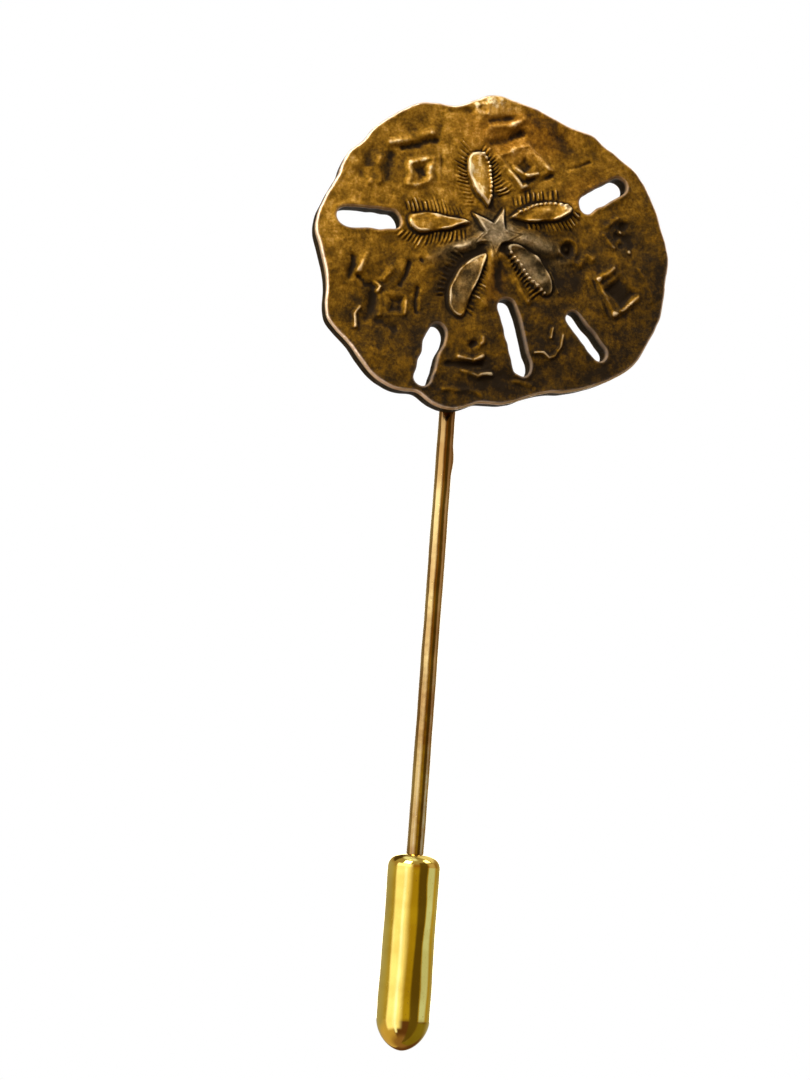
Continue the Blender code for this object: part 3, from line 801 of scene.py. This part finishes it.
def back_points(sheet, random, edge_points, edge_normals):
    """Rows of points behind the head, and their dents: none round the pad, shallow ones elsewhere."""
    rows = hex_points(edge_points.min(0), edge_points.max(0), BACK_SPACING)
    depth, _ = depth_in_metal(rows, edge_points, edge_normals)
    rows = rows[depth > WALL_DRAFT + BACK_ROUNDING + 0.12]
    dents = BACK_DENT * np.clip(sheet.sample(sheet.grain(random, 0.5), rows) + 0.4, 0, 2)
    from_pad = np.hypot(rows[:, 0] + STAR_FROM_WIRE, rows[:, 1] - centre_mm("mounting_pad")[2])
    return rows, dents * (1 - fade(from_pad, FLAT_BACK, DENTED_BACK))


def front_colours(sheet, front, depth, beside_rim):
    """What the antique brass needs to know at each point of the front."""
    soft, softer = sheet.smoothed(sheet.height, 0.16), sheet.smoothed(sheet.height, 0.5)
    relief = sheet.sample(sheet.height - 0.6 * soft - 0.4 * softer, front)
    # The patina here also carries painted shade: a slope that darkens towards the lower right, and the
    # painted shade patches
    patina_and_shade = np.clip(FRONT_PATINA + front @ PAINTED_SHADE_SLOPE, 0, 1)
    patina_and_shade += PAINTED_SHADE_AMOUNT * patch_strength(front, PAINTED_SHADE_PATCHES)
    patina_and_shade += RUBBED_PATINA * patch_strength(front, RUBBED_PATCHES)
    return {
        "relief": np.clip(relief / FULL_RELIEF, -1, 1),
        "worn_edge": np.where(beside_rim, 1.0, SLOT_WEAR) * fade(depth, 0.06, 0.17),
        "patina_and_shade": patina_and_shade,
        "silver": patch_strength(front, SILVER_PATCHES),
        "warm": patch_strength(front, WARM_PATCHES),
    }


def build_head(material):
    """The cast head: its worn front, its walls and its back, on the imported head's outlines."""
    random = np.random.default_rng(SEED)
    sheet = head_sheet(random)
    outlines, normals = zip(*[cast_outline(loop, i == 0) for i, loop in enumerate(back_loops())])
    sizes = [len(outline) for outline in outlines]
    edge_points, edge_normals = np.vstack(outlines), np.vstack(normals)
    front = front_points(sheet, edge_points, edge_normals)
    depth, nearest = depth_in_metal(front, edge_points, edge_normals)
    depth[: len(edge_points)] = 0.0
    beside_rim = nearest < sizes[0]
    rounding = np.where(beside_rim, RIM_ROUNDING, SLOT_ROUNDING)
    lip = SLOT_LIP * bell(depth, SLOT_LIP_INSET, SLOT_LIP_WIDTH)
    height = sheet.sample(sheet.height, front)
    height += np.where(beside_rim, 0.5 * lip, lip) - rounding * (1 - rounded_rise(depth, rounding))
    rings = wall_rings(edge_points, edge_normals)
    behind, dents = back_points(sheet, random, edge_points, edge_normals)
    points = [on_plane(front, -HEAD_THICKNESS - height)] + rings + [on_plane(behind, -dents)]
    points = np.vstack(points) + (STAR_FROM_WIRE, 0, 0)

    faces = orient(front, filled(front, sizes, outlines), 1).tolist()
    ring_starts = [0] + [len(front) + i * len(edge_points) for i in range(len(rings))]
    first = 0
    for size in sizes:
        for upper, lower in zip(ring_starts, ring_starts[1:]):
            quads = ring_quads(upper + first, lower + first, size)
            faces += [quad[::-1] for quad in quads] if first == 0 else quads
        first += size
    inset = WALL_DRAFT + BACK_ROUNDING
    back_outlines = [edge + inwards * inset for edge, inwards in zip(outlines, normals)]
    back = np.vstack(back_outlines + [behind])
    faces += (orient(back, filled(back, sizes, back_outlines), -1) + ring_starts[-1]).tolist()

    colours = front_colours(sheet, front, depth, beside_rim)
    patina_behind = np.full(len(points) - len(front), BACK_PATINA)
    patina_behind[: len(WALL_RINGS) * len(edge_points)] = WALL_PATINA
    for key, values in colours.items():
        rest = patina_behind if key == "patina_and_shade" else np.zeros(len(patina_behind))
        colours[key] = np.concatenate([values, rest])
    name, body, node, slot = "sand_dollar_relief", "pin", "sand_dollar_head", "antique_brass"
    return new_object(name, points, faces, material, body, node, colours)


# ---------------------------------------------- turned pieces
def arc(centre, radius, start, end, steps):
    """Points along an arc, as (radius from the axis, height), with angles in degrees."""
    angles = np.radians(np.linspace(start, end, steps + 1))
    return np.stack([centre[0] + radius * np.cos(angles), centre[1] + radius * np.sin(angles)], axis=1)


def turned_mesh(profile, steps, closed=False):
    """Points and faces of a turned shape round Z. An open profile starts and ends on the axis."""
    profile = np.asarray(profile, float)
    angles = np.linspace(0, 2 * math.pi, steps, endpoint=False)
    rings = profile if closed else profile[1:-1]
    points = [(r * math.cos(a), r * math.sin(a), z) for r, z in rings for a in angles]
    faces = []
    last = len(rings) if closed else len(rings) - 1
    for k in range(last):
        faces += ring_quads(k * steps, (k + 1) % len(rings) * steps, steps)
    if not closed:
        points += [(0.0, 0.0, profile[0][1]), (0.0, 0.0, profile[-1][1])]
        start, end, top = len(points) - 2, len(points) - 1, (len(rings) - 1) * steps
        for i in range(steps):
            j = (i + 1) % steps
            faces.append((start, j, i))
            faces.append((end, top + i, top + j))
    return np.array(points), faces


def spaced(profile, spacing):
    """The profile with extra points, so that none of its lines is longer than spacing."""
    result = [np.asarray(profile[0], float)]
    for start, end in zip(profile, profile[1:]):
        start, end = np.asarray(start, float), np.asarray(end, float)
        count = max(1, math.ceil(np.hypot(*(end - start)) / spacing))
        result += [start + (end - start) * (k + 1) / count for k in range(count)]
    return result


def build_wire(material):
    """A drawn wire with a filed end, a long needle point and a small swelling below the head."""
    low, high = box_mm("pin_wire")
    share = np.linspace(0, 1, 24)[1:]
    taper = TIP_RADIUS + (WIRE_RADIUS - TIP_RADIUS) * np.sin(share * math.pi / 2) ** 0.8
    end_low = high[2] - WIRE_END_ROUNDING
    profile = [(0.0, low[2]), (TIP_RADIUS * 0.7, low[2] + 0.3 * TIP_RADIUS)]
    profile += list(zip(taper, low[2] + TIP_RADIUS + share * (POINT_LENGTH - TIP_RADIUS)))
    profile += [(WIRE_RADIUS, end_low)]
    profile += list(arc((WIRE_RADIUS - WIRE_END_ROUNDING, end_low), WIRE_END_ROUNDING, 15, 90, 5))
    profile += [(0.0, high[2])]
    points, faces = turned_mesh(spaced(profile, TURNED_SPACING), 48)
    along = np.clip(1 - ((points[:, 2] - SWELL_Z) / SWELL_HALF) ** 2, 0, 1)
    on_right = np.clip(points[:, 0] / WIRE_RADIUS, 0, 1) ** 2
    points[:, 0] += SWELL_SIZE * on_right * along
    radius = np.hypot(points[:, 0], points[:, 1])
    drift = WIRE_DRIFT * waves([(z * 0.35, 0.0, 5.0) for z in points[:, 2]])
    ripple = WIRE_RIPPLE * waves(points * (1.5, 1.5, 0.6))
    points[:, :2] *= (1 + (drift + ripple) * np.clip(radius / WIRE_RADIUS, 0, 1))[:, None]
    points[:, :2] += centre_mm("pin_wire")[:2]
    return new_object("polished_wire", points, faces, material, "pin", "pin_wire")


def quarter_oval(centre, width, height, fullness=2.0, steps=20):
    """A quarter of an oval, from its side to its end: it is round at 2, and more pointed below that."""
    angle = np.radians(np.linspace(0, 90, steps + 1))
    across = np.cos(angle).clip(0) ** (2 / fullness)
    along = np.sin(angle).clip(0) ** (2 / fullness)
    return np.stack([centre[0] + width * across, centre[1] + height * along], axis=1)


def build_clutch(material):
    """A drawn shell with a domed mouth and a bullet nose, hollow inside."""
    low, high = box_mm("clutch_shell")
    radius, top = (high[0] - low[0]) / 2, high[2]
    nose, mouth = (0.0, low[2] + NOSE_LENGTH), (MOUTH_RADIUS, top - MOUTH_HEIGHT)
    bore = radius - SHELL_WALL
    profile = [
        quarter_oval(nose, radius, -NOSE_LENGTH, NOSE_FULLNESS)[::-1],
        quarter_oval(mouth, radius - MOUTH_RADIUS, MOUTH_HEIGHT),
        arc((MOUTH_RADIUS, top - SHELL_WALL / 2), SHELL_WALL / 2, 90, 270, 8)[1:-1],
        quarter_oval(mouth, bore - MOUTH_RADIUS, MOUTH_HEIGHT - SHELL_WALL)[::-1],
        [(bore, top - STEP_DEPTH), (STEP_RADIUS, top - STEP_DEPTH)],
        quarter_oval(nose, STEP_RADIUS, NOSE_WALL - NOSE_LENGTH, NOSE_FULLNESS),
    ]
    points, faces = turned_mesh(spaced(np.vstack(profile), TURNED_SPACING), 96)
    # Slight flats and waves along the drawn side, which bend its reflections
    reach = np.hypot(points[:, 0], points[:, 1])
    from_middle = np.abs(points[:, 2] - (top + nose[1]) / 2)
    on_side = fade(from_middle, *DRAWN_SIDE) * (reach > radius * 0.95)
    points[:, :2] *= (1 + SHELL_WAVE * waves(points * (0.8, 0.8, 0.36)) * on_side)[:, None]
    points[:, :2] += centre_mm("pin_wire")[:2]
    body, node, slot = "clutch", "clutch_shell", "clutch_brass"
    return new_object("polished_clutch", points, faces, material, body, node)


def laid_on_back(points, base_y):
    """Turns a shape round Z so that it stands on the head's back, at the pad's middle."""
    across, _, up = centre_mm("mounting_pad")
    return np.stack([points[:, 0] + across, points[:, 2] + base_y, -points[:, 1] + up], axis=1)


def build_pad(material):
    """A stamped pad with a rolled edge and a faint step round its face."""
    low, high = box_mm("mounting_pad")
    radius, thickness = (high[0] - low[0]) / 2, high[1] - low[1]
    edge, floor = PAD_ROUNDING, thickness - PAD_STEP
    profile = [(0, 0), (radius - edge, 0)]
    profile += list(arc((radius - edge, edge), edge, 270, 360, 5))
    profile += list(arc((radius - edge, thickness - edge), edge, 0, 90, 6))
    border = radius - PAD_BORDER
    profile += [(border, thickness), (border - PAD_STEP_RUN, floor), (0, floor)]
    points, faces = turned_mesh(spaced(profile, TURNED_SPACING / 2), 96)
    points = laid_on_back(points, low[1])
    return new_object("stamped_pad", points, faces, material, "pin", "mounting_pad")


def build_pad_solder(material):
    """A hollow-faced run of solder round the pad, with an uneven outer edge."""
    low, high = box_mm("pad_solder")
    pad_low, pad_high = box_mm("mounting_pad")
    inner = (pad_high[0] - pad_low[0]) / 2 + JOINT_GAP
    outer, height = (high[0] - low[0]) / 2, high[1] - low[1]
    run = outer - inner
    share = np.linspace(0, 1, 14)
    face = np.stack([outer - run * share, 0.03 + (height - 0.05) * share**2.2], axis=1)
    profile = [(inner, 0), (outer, 0)] + list(face) + [(inner, height)]
    points, faces = turned_mesh(profile, 120, closed=True)
    angle = np.arctan2(points[:, 1], points[:, 0])
    reach = np.hypot(points[:, 0], points[:, 1])
    swings = waves([(math.cos(a) * 1.7, math.sin(a) * 1.7, 1.0) for a in angle])
    outward = np.clip((reach - inner) / run, 0, 1)
    points[:, :2] *= (1 + outward * (0.05 * swings - 0.02))[:, None]
    points[:, 2] *= 1 + 0.25 * swings * (points[:, 2] > 0)
    points[:, 2] = np.minimum(points[:, 2], height)
    points = laid_on_back(points, low[1])
    return new_object("pad_solder_run", points, faces, material, "pin", "pad_solder")


def build_wire_solder(material):
    """A lump of solder that has flowed over the wire's end and drawn itself out at its foot."""
    low, high = box_mm("wire_solder")
    centre, half = (low + high) / 2, (high - low) / 2
    rings, steps = 26, 72
    share = np.repeat(np.arange(1, rings + 1) / rings, steps)
    angles = [2 * math.pi * i / steps for i in range(steps)] * rings
    circle = np.array([(math.cos(angle), math.sin(angle)) for angle in angles])
    lobes = 1 + 0.07 * waves([(u, v, 7.0) for u, v in circle * 1.6])
    spread = circle * (share * lobes)[:, None] * half[[0, 2]]
    body, foot = (1 - share**2.3) ** 0.62, 0.05 * (1 - share)
    dimple = 0.03 * (1 - share) * waves([(u, v, 2.0) for u, v in spread * 1.6])
    y = low[1] + (high[1] - low[1]) * (body + foot) / 1.05 + dimple
    top = (centre[0], high[1], centre[2])
    points = np.vstack([top, on_plane(spread + centre[[0, 2]], np.minimum(y, high[1]))])
    faces = [(0, 1 + (i + 1) % steps, 1 + i) for i in range(steps)]
    ring_starts = [1 + ring * steps for ring in range(rings)]
    for upper, lower in zip(ring_starts, ring_starts[1:]):
        faces += ring_quads(upper, lower, steps)
    faces.append(tuple(ring_starts[-1] + i for i in range(steps)))
    return new_object("wire_solder_lump", points, faces, material, "pin", "wire_solder")


# ---------------------------------------------- finishes
# Colours on the screen's 0 to 255 scale, from bare metal to thick patina
PATINA_COLOURS = [
    (240, 222, 176),
    (186, 146, 72),
    (142, 104, 36),
    (106, 76, 18),
    (68, 49, 9),
    (34, 24, 2),
]
WARM_COLOURS = [
    (240, 206, 146),
    (196, 138, 58),
    (154, 98, 28),
    (116, 72, 18),
    (76, 46, 12),
    (36, 22, 6),
]
SILVER_COLOURS = [
    (224, 214, 196),
    (162, 148, 124),
    (126, 112, 88),
    (94, 82, 60),
    (60, 52, 34),
    (30, 24, 12),
]
CREST_COLOUR = (228, 208, 170)
RIM_COLOUR = (236, 214, 196)
# The brown of the painted shadow on the wire just below the head
UNDER_HEAD_SHADOW_COLOUR = (104, 66, 30)


class Graph:
    """Adds nodes to a node tree. An input is a number, a colour or another node's output."""

    def __init__(self, tree):
        self.tree = tree
        tree.nodes.clear()

    def node(self, kind, inputs, **settings):
        """A new node, with its inputs by name or number."""
        made = self.tree.nodes.new("ShaderNode" + kind)
        for key, value in settings.items():
            setattr(made, key, value)
        for key, value in inputs.items():
            if isinstance(value, bpy.types.NodeSocket):
                self.tree.links.new(value, made.inputs[key])
            else:
                made.inputs[key].default_value = value
        return made

    def math(self, operation, *values):
        return self.node("Math", dict(enumerate(values)), operation=operation).outputs[0]

    def total(self, first, *others):
        """The sum of some values."""
        for value in others:
            first = self.math("ADD", first, value)
        return first

    def remap(self, value, low, high, to_low=0.0, to_high=1.0):
        """Goes smoothly from to_low to to_high as the value goes from low to high."""
        inputs = {"Value": value, "From Min": low, "From Max": high}
        inputs |= {"To Min": to_low, "To Max": to_high}
        return self.node("MapRange", inputs, interpolation_type="SMOOTHSTEP").outputs[0]

    def mix(self, share, first, second):
        """A blend of two colours."""
        return self.node("Mix", {0: share, 6: first, 7: second}, data_type="RGBA").outputs[2]

    def ramp(self, share, colours):
        """A run of colours, evenly spaced as share goes from 0 to 1."""
        made = self.node("ValToRGB", {0: share})
        stops = made.color_ramp.elements
        stops[0].color = linear(*colours[0])
        stops[1].color = linear(*colours[-1])
        for k, colour in enumerate(colours[1:-1], 1):
            stops.new(k / (len(colours) - 1)).color = linear(*colour)
        return made.outputs[0]

    def place(self, stretch=(1.0, 1.0, 1.0)):
        """The place on the object in millimetres, each axis multiplied by its stretch."""
        coordinates = self.node("TexCoord", {}).outputs["Object"]
        scale = [k / MM for k in stretch]
        return self.node("Mapping", {"Vector": coordinates, "Scale": scale}).outputs[0]

    def noise(self, place, scale, detail=3.0, roughness=0.55):
        inputs = {"Vector": place, "Scale": scale, "Detail": detail, "Roughness": roughness}
        return self.node("TexNoise", inputs).outputs[0]

    def attribute(self, name):
        """A value that the mesh holds at each of its points."""
        return self.node("Attribute", {}, attribute_name=name).outputs["Fac"]

    def bump(self, height, distance, strength=1.0, normal=None):
        """A normal from a height; distance is the height's size in millimetres."""
        inputs = {"Height": height, "Distance": distance * MM, "Strength": strength}
        if normal:
            inputs["Normal"] = normal
        return self.node("Bump", inputs).outputs[0]

    def surface(self, inputs):
        """Finishes a material with this shader."""
        shader = self.node("BsdfPrincipled", inputs)
        self.node("OutputMaterial", {0: shader.outputs[0]})


def linear(red, green, blue):
    """A colour from its 0 to 255 screen values."""
    return tuple((value / 255) ** 2.2 for value in (red, green, blue)) + (1.0,)


def new_graph(name):
    """A new material and the graph of its nodes."""
    material = bpy.data.materials.new(name)
    material.use_nodes = True
    return material, Graph(material.node_tree)


def antique_brass():
    """Brass under a brown patina, dark in the hollows and rubbed bright on the crests, and darkened by
    painted shade across the front.
    """
    material, g = new_graph("antique_brass")
    place = g.place()
    cloud = g.noise(place, 0.45, 4.0, 0.6)
    mottle = g.noise(place, 1.3, 6.0, 0.72)
    speckle = g.noise(place, 5.0, 4.0, 0.7)
    relief, worn_edge = g.attribute("relief"), g.attribute("worn_edge")
    # The patina's thickness, which also carries the painted shade laid into the front's attribute
    thickness = g.total(
        g.attribute("patina_and_shade"),
        g.remap(mottle, 0.32, 0.68, -0.16, 0.16),
        g.remap(cloud, 0.35, 0.65, -0.08, 0.08),
        g.remap(speckle, 0.35, 0.65, -0.07, 0.07),
        g.remap(relief, 0.0, -0.9, 0.0, 0.55),
        g.remap(relief, 0.1, 0.9, 0.0, -0.36),
        g.math("MULTIPLY", worn_edge, -0.6),
    )
    colour = g.ramp(thickness, PATINA_COLOURS)
    warmth = g.math("MULTIPLY", g.attribute("warm"), 0.4)
    colour = g.mix(warmth, colour, g.ramp(thickness, WARM_COLOURS))
    silver = g.math("MULTIPLY", g.attribute("silver"), g.remap(mottle, 0.2, 0.6, 0.55, 0.95))
    colour = g.mix(silver, colour, g.ramp(thickness, SILVER_COLOURS))
    shine = g.math("MULTIPLY", g.remap(relief, 0.6, 1.0), g.remap(mottle, 0.36, 0.6, 0.15, 0.6))
    colour = g.mix(shine, colour, linear(*CREST_COLOUR))
    colour = g.mix(g.math("MULTIPLY", worn_edge, 0.85), colour, linear(*RIM_COLOUR))
    roughness = g.remap(thickness, 0.0, 1.1, 0.32, 0.72)
    metallic = g.remap(thickness, 0.35, 1.1, 0.92, 0.1)
    normal = g.bump(g.noise(place, 2.2, 7.0, 0.78), 0.13, 0.9)
    normal = g.bump(speckle, 0.02, 0.8, normal)
    inputs = {"Base Color": colour, "Metallic": metallic, "Roughness": roughness, "Normal": normal}
    g.surface(inputs | {"Specular IOR Level": 0.12})
    return material


def plain_brass():
    """Dull stamped brass with the rings of a turning tool and brown stains."""
    material, g = new_graph("plain_brass")
    place = g.place()
    stain = g.noise(place, 1.1, 4.0, 0.6)
    scratches = g.noise(g.place((1.0, 1.0, 14.0)), 1.5, 3.0, 0.6)
    colour = g.mix(g.remap(stain, 0.35, 0.7), linear(190, 150, 72), linear(120, 86, 34))
    colour = g.mix(g.remap(scratches, 0.55, 0.7, 0.0, 0.4), colour, linear(224, 190, 116))
    roughness = g.remap(stain, 0.3, 0.7, 0.26, 0.44)
    normal = g.bump(scratches, 0.006, 0.8)
    g.surface({"Base Color": colour, "Metallic": 1.0, "Roughness": roughness, "Normal": normal})
    return material


def solder():
    """Grey solder, bright where it ran smooth and frosted elsewhere, with flux stains."""
    material, g = new_graph("solder")
    place = g.place()
    frost = g.noise(place, 7.0, 4.0, 0.65)
    flow = g.noise(place, 1.3, 3.0, 0.5)
    colour = g.mix(g.remap(flow, 0.35, 0.65), linear(176, 174, 168), linear(146, 140, 128))
    colour = g.mix(g.remap(frost, 0.58, 0.74, 0.0, 0.5), colour, linear(104, 84, 52))
    roughness = g.remap(frost, 0.3, 0.7, 0.22, 0.42)
    normal = g.bump(frost, 0.01, 0.7, g.bump(flow, 0.05, 0.8))
    g.surface({"Base Color": colour, "Metallic": 1.0, "Roughness": roughness, "Normal": normal})
    return material


def polished_brass(name, colours, roughness_range, wave, shadow_heights=None):
    """Polished brass with faint lines up and down it, a slow change of tone and tiny pits.

    It is darkened brown by a painted shadow between two heights, fully at the second one, where these are
    given.
    """
    material, g = new_graph(name)
    place = g.place()
    lines = g.noise(g.place((1.0, 1.0, 0.06)), 2.2, 4.0, 0.6)
    tone = g.noise(place, 0.35, 3.0, 0.55)
    pits = g.noise(place, 9.0, 2.0, 0.5)
    colour = g.mix(g.remap(tone, 0.35, 0.65), colours[0], colours[1])
    colour = g.mix(g.remap(lines, 0.5, 0.75, 0.0, 0.35), colour, colours[2])
    # Painted shadow: brown between the two heights, fullest above the second
    if shadow_heights:
        height = g.node("SeparateXYZ", {0: place}).outputs[2]
        colour = g.mix(g.remap(height, *shadow_heights, 0.0, 0.75), colour, linear(*UNDER_HEAD_SHADOW_COLOUR))
    roughness = g.remap(lines, 0.3, 0.75, *roughness_range)
    normal = g.bump(lines, wave, 0.6)
    normal = g.bump(g.noise(place, 0.9, 2.0, 0.5), wave * 6, 0.5, normal)
    normal = g.bump(g.remap(pits, 0.68, 0.78), -0.004, 0.8, normal)
    g.surface({"Base Color": colour, "Metallic": 1.0, "Roughness": roughness, "Normal": normal})
    return material


def nylon():
    """Natural moulded nylon with a waxy depth and a faint cloudiness."""
    material, g = new_graph("nylon")
    place = g.place()
    cloud = g.noise(place, 0.9, 3.0, 0.5)
    marks = g.noise(g.place((1.0, 1.0, 0.15)), 5.0, 3.0, 0.6)
    colour = g.mix(g.remap(cloud, 0.3, 0.7), linear(238, 232, 214), linear(222, 212, 186))
    roughness = g.remap(marks, 0.3, 0.7, 0.36, 0.52)
    inputs = {
        "Base Color": colour,
        "Roughness": roughness,
        "Subsurface Weight": 0.25,
        "Subsurface Radius": (0.6 * MM, 0.5 * MM, 0.4 * MM),
        "Subsurface Scale": 1.0,
        "Normal": g.bump(marks, 0.008, 0.6),
    }
    g.surface(inputs)
    return material


# ---------------------------------------------- studio
# Lit and dark panels of the studio, in degrees: azimuth from and to, elevation from and to, softness of
# the left and the right edge, softness of the other edges, light. Azimuth 0 is in front of the head and
# 90 is on its right
PANELS = [
    ((-96, -30), (-36, 5), (6, 15), 6, (1.62, 1.52, 1.45)),
    ((-96, -30), (5, 26), (6, 15), 4, (2.5, 2.5, 2.5)),
    ((-58, -46), (-50, 3), (5, 5), 3, (1.75, 1.85, 2.8)),
    ((53, 88), (-5.5, 4), (3, 8), 2, (0.8, 0.95, 1.3)),
    ((54, 88), (4, 30), (4, 8), 2, (0.7, 0.55, 0.45)),
    ((50, 120), (-90, -9), (8, 10), 4, (0.27, 0.21, 0.03)),
    ((-160, 5), (62, 95), (8, 15), 4, (1.2, 1.3, 1.7)),
    ((90, 150), (34, 74), (8, 8), 6, (1.1, 1.0, 0.9)),
    ((110, 250), (-20, 22), (25, 25), 10, (0.5, 0.45, 0.3)),
]
SHADOWS = [
    ((9, 48), (-90, 42), (6, 3), 4, (0.15, 0.10, 0.02)),
    ((-190, -125), (28, 58), (6, 6), 4, (0.10, 0.06, 0.02)),
]
# Lights: name, azimuth, elevation, distance and size in metres, power in watts, colour
LIGHTS = [
    ("key", -52, 42, 0.45, 0.22, 2.6, (1.0, 0.95, 0.86)),
    ("fill", 62, 48, 0.5, 0.2, 0.6, (0.95, 0.98, 1.0)),
    ("behind", 160, 12, 0.5, 0.35, 1.2, (1.0, 0.97, 0.92)),
]
# The room behind the panels, from below the object to above it
ROOM_LOW = (0.15, 0.062, 0.03)
ROOM_LOW_LEFT = (0.78, 0.55, 0.26)
ROOM_BOTTOM = (0.38, 0.21, 0.12)
ROOM_MIDDLE = (0.56, 0.40, 0.03)
ROOM_UPPER = (0.40, 0.20, 0.03)
ROOM_TOP = (0.50, 0.40, 0.26)


def studio_world():
    """A soft studio seen in the metal, and plain white seen by the camera."""
    world = bpy.data.worlds.new("studio")
    world.use_nodes = True
    bpy.context.scene.world = world
    g = Graph(world.node_tree)
    direction = g.node("TexCoord", {}).outputs["Generated"]
    x, y, z = g.node("SeparateXYZ", {0: direction}).outputs
    azimuth = g.math("DEGREES", g.math("ARCTAN2", x, g.math("MULTIPLY", y, -1.0)))
    elevation = g.math("DEGREES", g.math("ARCSINE", z))

    def window(value, low, high, soft_low, soft_high):
        """1 where the value is from low to high, with soft edges."""
        rise = g.remap(value, low - soft_low, low + soft_low)
        return g.math("MULTIPLY", rise, g.remap(value, high - soft_high, high + soft_high, 1.0, 0.0))

    def over_panel(across, upwards, softness, soft_up):
        """1 inside a panel and 0 outside it, from a row of the table without its light."""
        shown = window(azimuth, *across, *softness)
        if across[1] > 180:
            shown = g.math("ADD", shown, window(azimuth, across[0] - 360, across[1] - 360, *softness))
        return g.math("MULTIPLY", shown, window(elevation, *upwards, soft_up, soft_up))

    low = g.mix(window(azimuth, -200, -60, 10, 10), (*ROOM_LOW, 1), (*ROOM_LOW_LEFT, 1))
    low = g.mix(g.remap(elevation, -48, -75), low, (*ROOM_BOTTOM, 1))
    room = g.mix(g.remap(elevation, -8, -4), low, (*ROOM_MIDDLE, 1))
    room = g.mix(g.remap(elevation, 2, 6), room, (*ROOM_UPPER, 1))
    room = g.mix(g.remap(elevation, 14, 40), room, (*ROOM_TOP, 1))
    for *place, colour in SHADOWS + PANELS:
        room = g.mix(over_panel(*place), room, (*colour, 1))
    seen = g.node("LightPath", {}).outputs["Is Camera Ray"]
    colour = g.mix(seen, room, (1, 1, 1, 1))
    background = g.node("Background", {"Color": colour, "Strength": 1.0})
    g.node("OutputWorld", {0: background.outputs[0]})


def direction(azimuth, elevation):
    """The unit vector from the object towards a place round it."""
    a, e = math.radians(azimuth), math.radians(elevation)
    return Vector((math.sin(a) * math.cos(e), -math.cos(a) * math.cos(e), math.sin(e)))


def add_light(name, azimuth, elevation, distance, size, power, colour):
    """A soft square light that looks at the object and isn't seen itself."""
    back = direction(azimuth, elevation)
    data = bpy.data.lights.new(name, "AREA")
    data.size = size
    data.energy = power
    data.color = colour
    light = bpy.data.objects.new(name, data)
    light.location = cad_middle + back * distance
    light.rotation_mode = "QUATERNION"
    light.rotation_quaternion = back.to_track_quat("Z", "Y")
    light.visible_camera = False
    bpy.context.scene.collection.objects.link(light)


def add_floor():
    """A plain pale floor, below the clutch when it has slid all the way off the pin."""
    slide = max(joint["range_m"][1] for joint in frame["joints"] if joint["type"] == "slide")
    z = cad_box[0].z - slide - FLOOR_MARGIN
    half = FLOOR_SIZE / 2
    corners = [(-half, -half, z), (half, -half, z), (half, half, z), (-half, half, z)]
    mesh = bpy.data.meshes.new("floor")
    mesh.from_pydata(corners, [], [(0, 1, 2, 3)])
    floor = bpy.data.objects.new("floor", mesh)
    bpy.context.scene.collection.objects.link(floor)
    material, g = new_graph("pale_floor")
    light = g.node("Emission", {"Color": (1, 1, 1, 1), "Strength": 1.0})
    g.node("OutputMaterial", {0: light.outputs[0]})
    mesh.materials.append(material)
    floor.visible_glossy = False
    floor.visible_diffuse = False


def add_camera():
    """A camera at the viewing angle, placed from the object's box."""
    back, roll = direction(VIEW_AZIMUTH, VIEW_ELEVATION), math.radians(VIEW_ROLL)
    level = Vector((0, 0, 1)).cross(back).normalized()
    upright = back.cross(level)
    right = math.cos(roll) * level + math.sin(roll) * upright
    up = back.cross(right)
    data = bpy.data.cameras.new("camera")
    data.lens = VIEW_LENS
    data.sensor_width = VIEW_SENSOR
    data.clip_start = 0.005
    data.clip_end = 20.0
    camera = bpy.data.objects.new("camera", data)
    shift = right * VIEW_SHIFT[0] + up * VIEW_SHIFT[1]
    camera.location = cad_middle + (shift + back * VIEW_DISTANCE) * MM
    camera.rotation_mode = "QUATERNION"
    camera.rotation_quaternion = Matrix((right, up, back)).transposed().to_quaternion()
    bpy.context.scene.collection.objects.link(camera)
    bpy.context.scene.camera = camera


def repaint(node, material):
    """Gives a CAD piece that is kept a better finish."""
    mesh_object = frame["nodes"][node]
    if not mesh_object.material_slots:
        mesh_object.data.materials.append(material)
    for slot in mesh_object.material_slots:
        slot.material = material


wire_colours = [linear(182, 158, 106), linear(146, 114, 70), linear(206, 182, 130)]
clutch_colours = [linear(226, 204, 106), linear(208, 182, 88), linear(242, 226, 142)]
# The wire is browned by a painted shadow from just below the head upwards
wire_brass = polished_brass("wire_brass", wire_colours, (0.10, 0.2), 0.01, shadow_heights=(-16.5, -12.5))
clutch_brass = polished_brass("clutch_brass", clutch_colours, (0.07, 0.15), 0.003)
stamped_brass, tin_solder, bushing_nylon = plain_brass(), solder(), nylon()

build_head(antique_brass())
build_pad(stamped_brass)
build_pad_solder(tin_solder)
build_wire_solder(tin_solder)
build_wire(wire_brass)
build_clutch(clutch_brass)
repaint("mouth_washer", stamped_brass)
repaint("grip_bushing", bushing_nylon)

bpy.context.scene.view_settings.view_transform = "Standard"
studio_world()
for light in LIGHTS:
    add_light(*light)
add_floor()
add_camera()
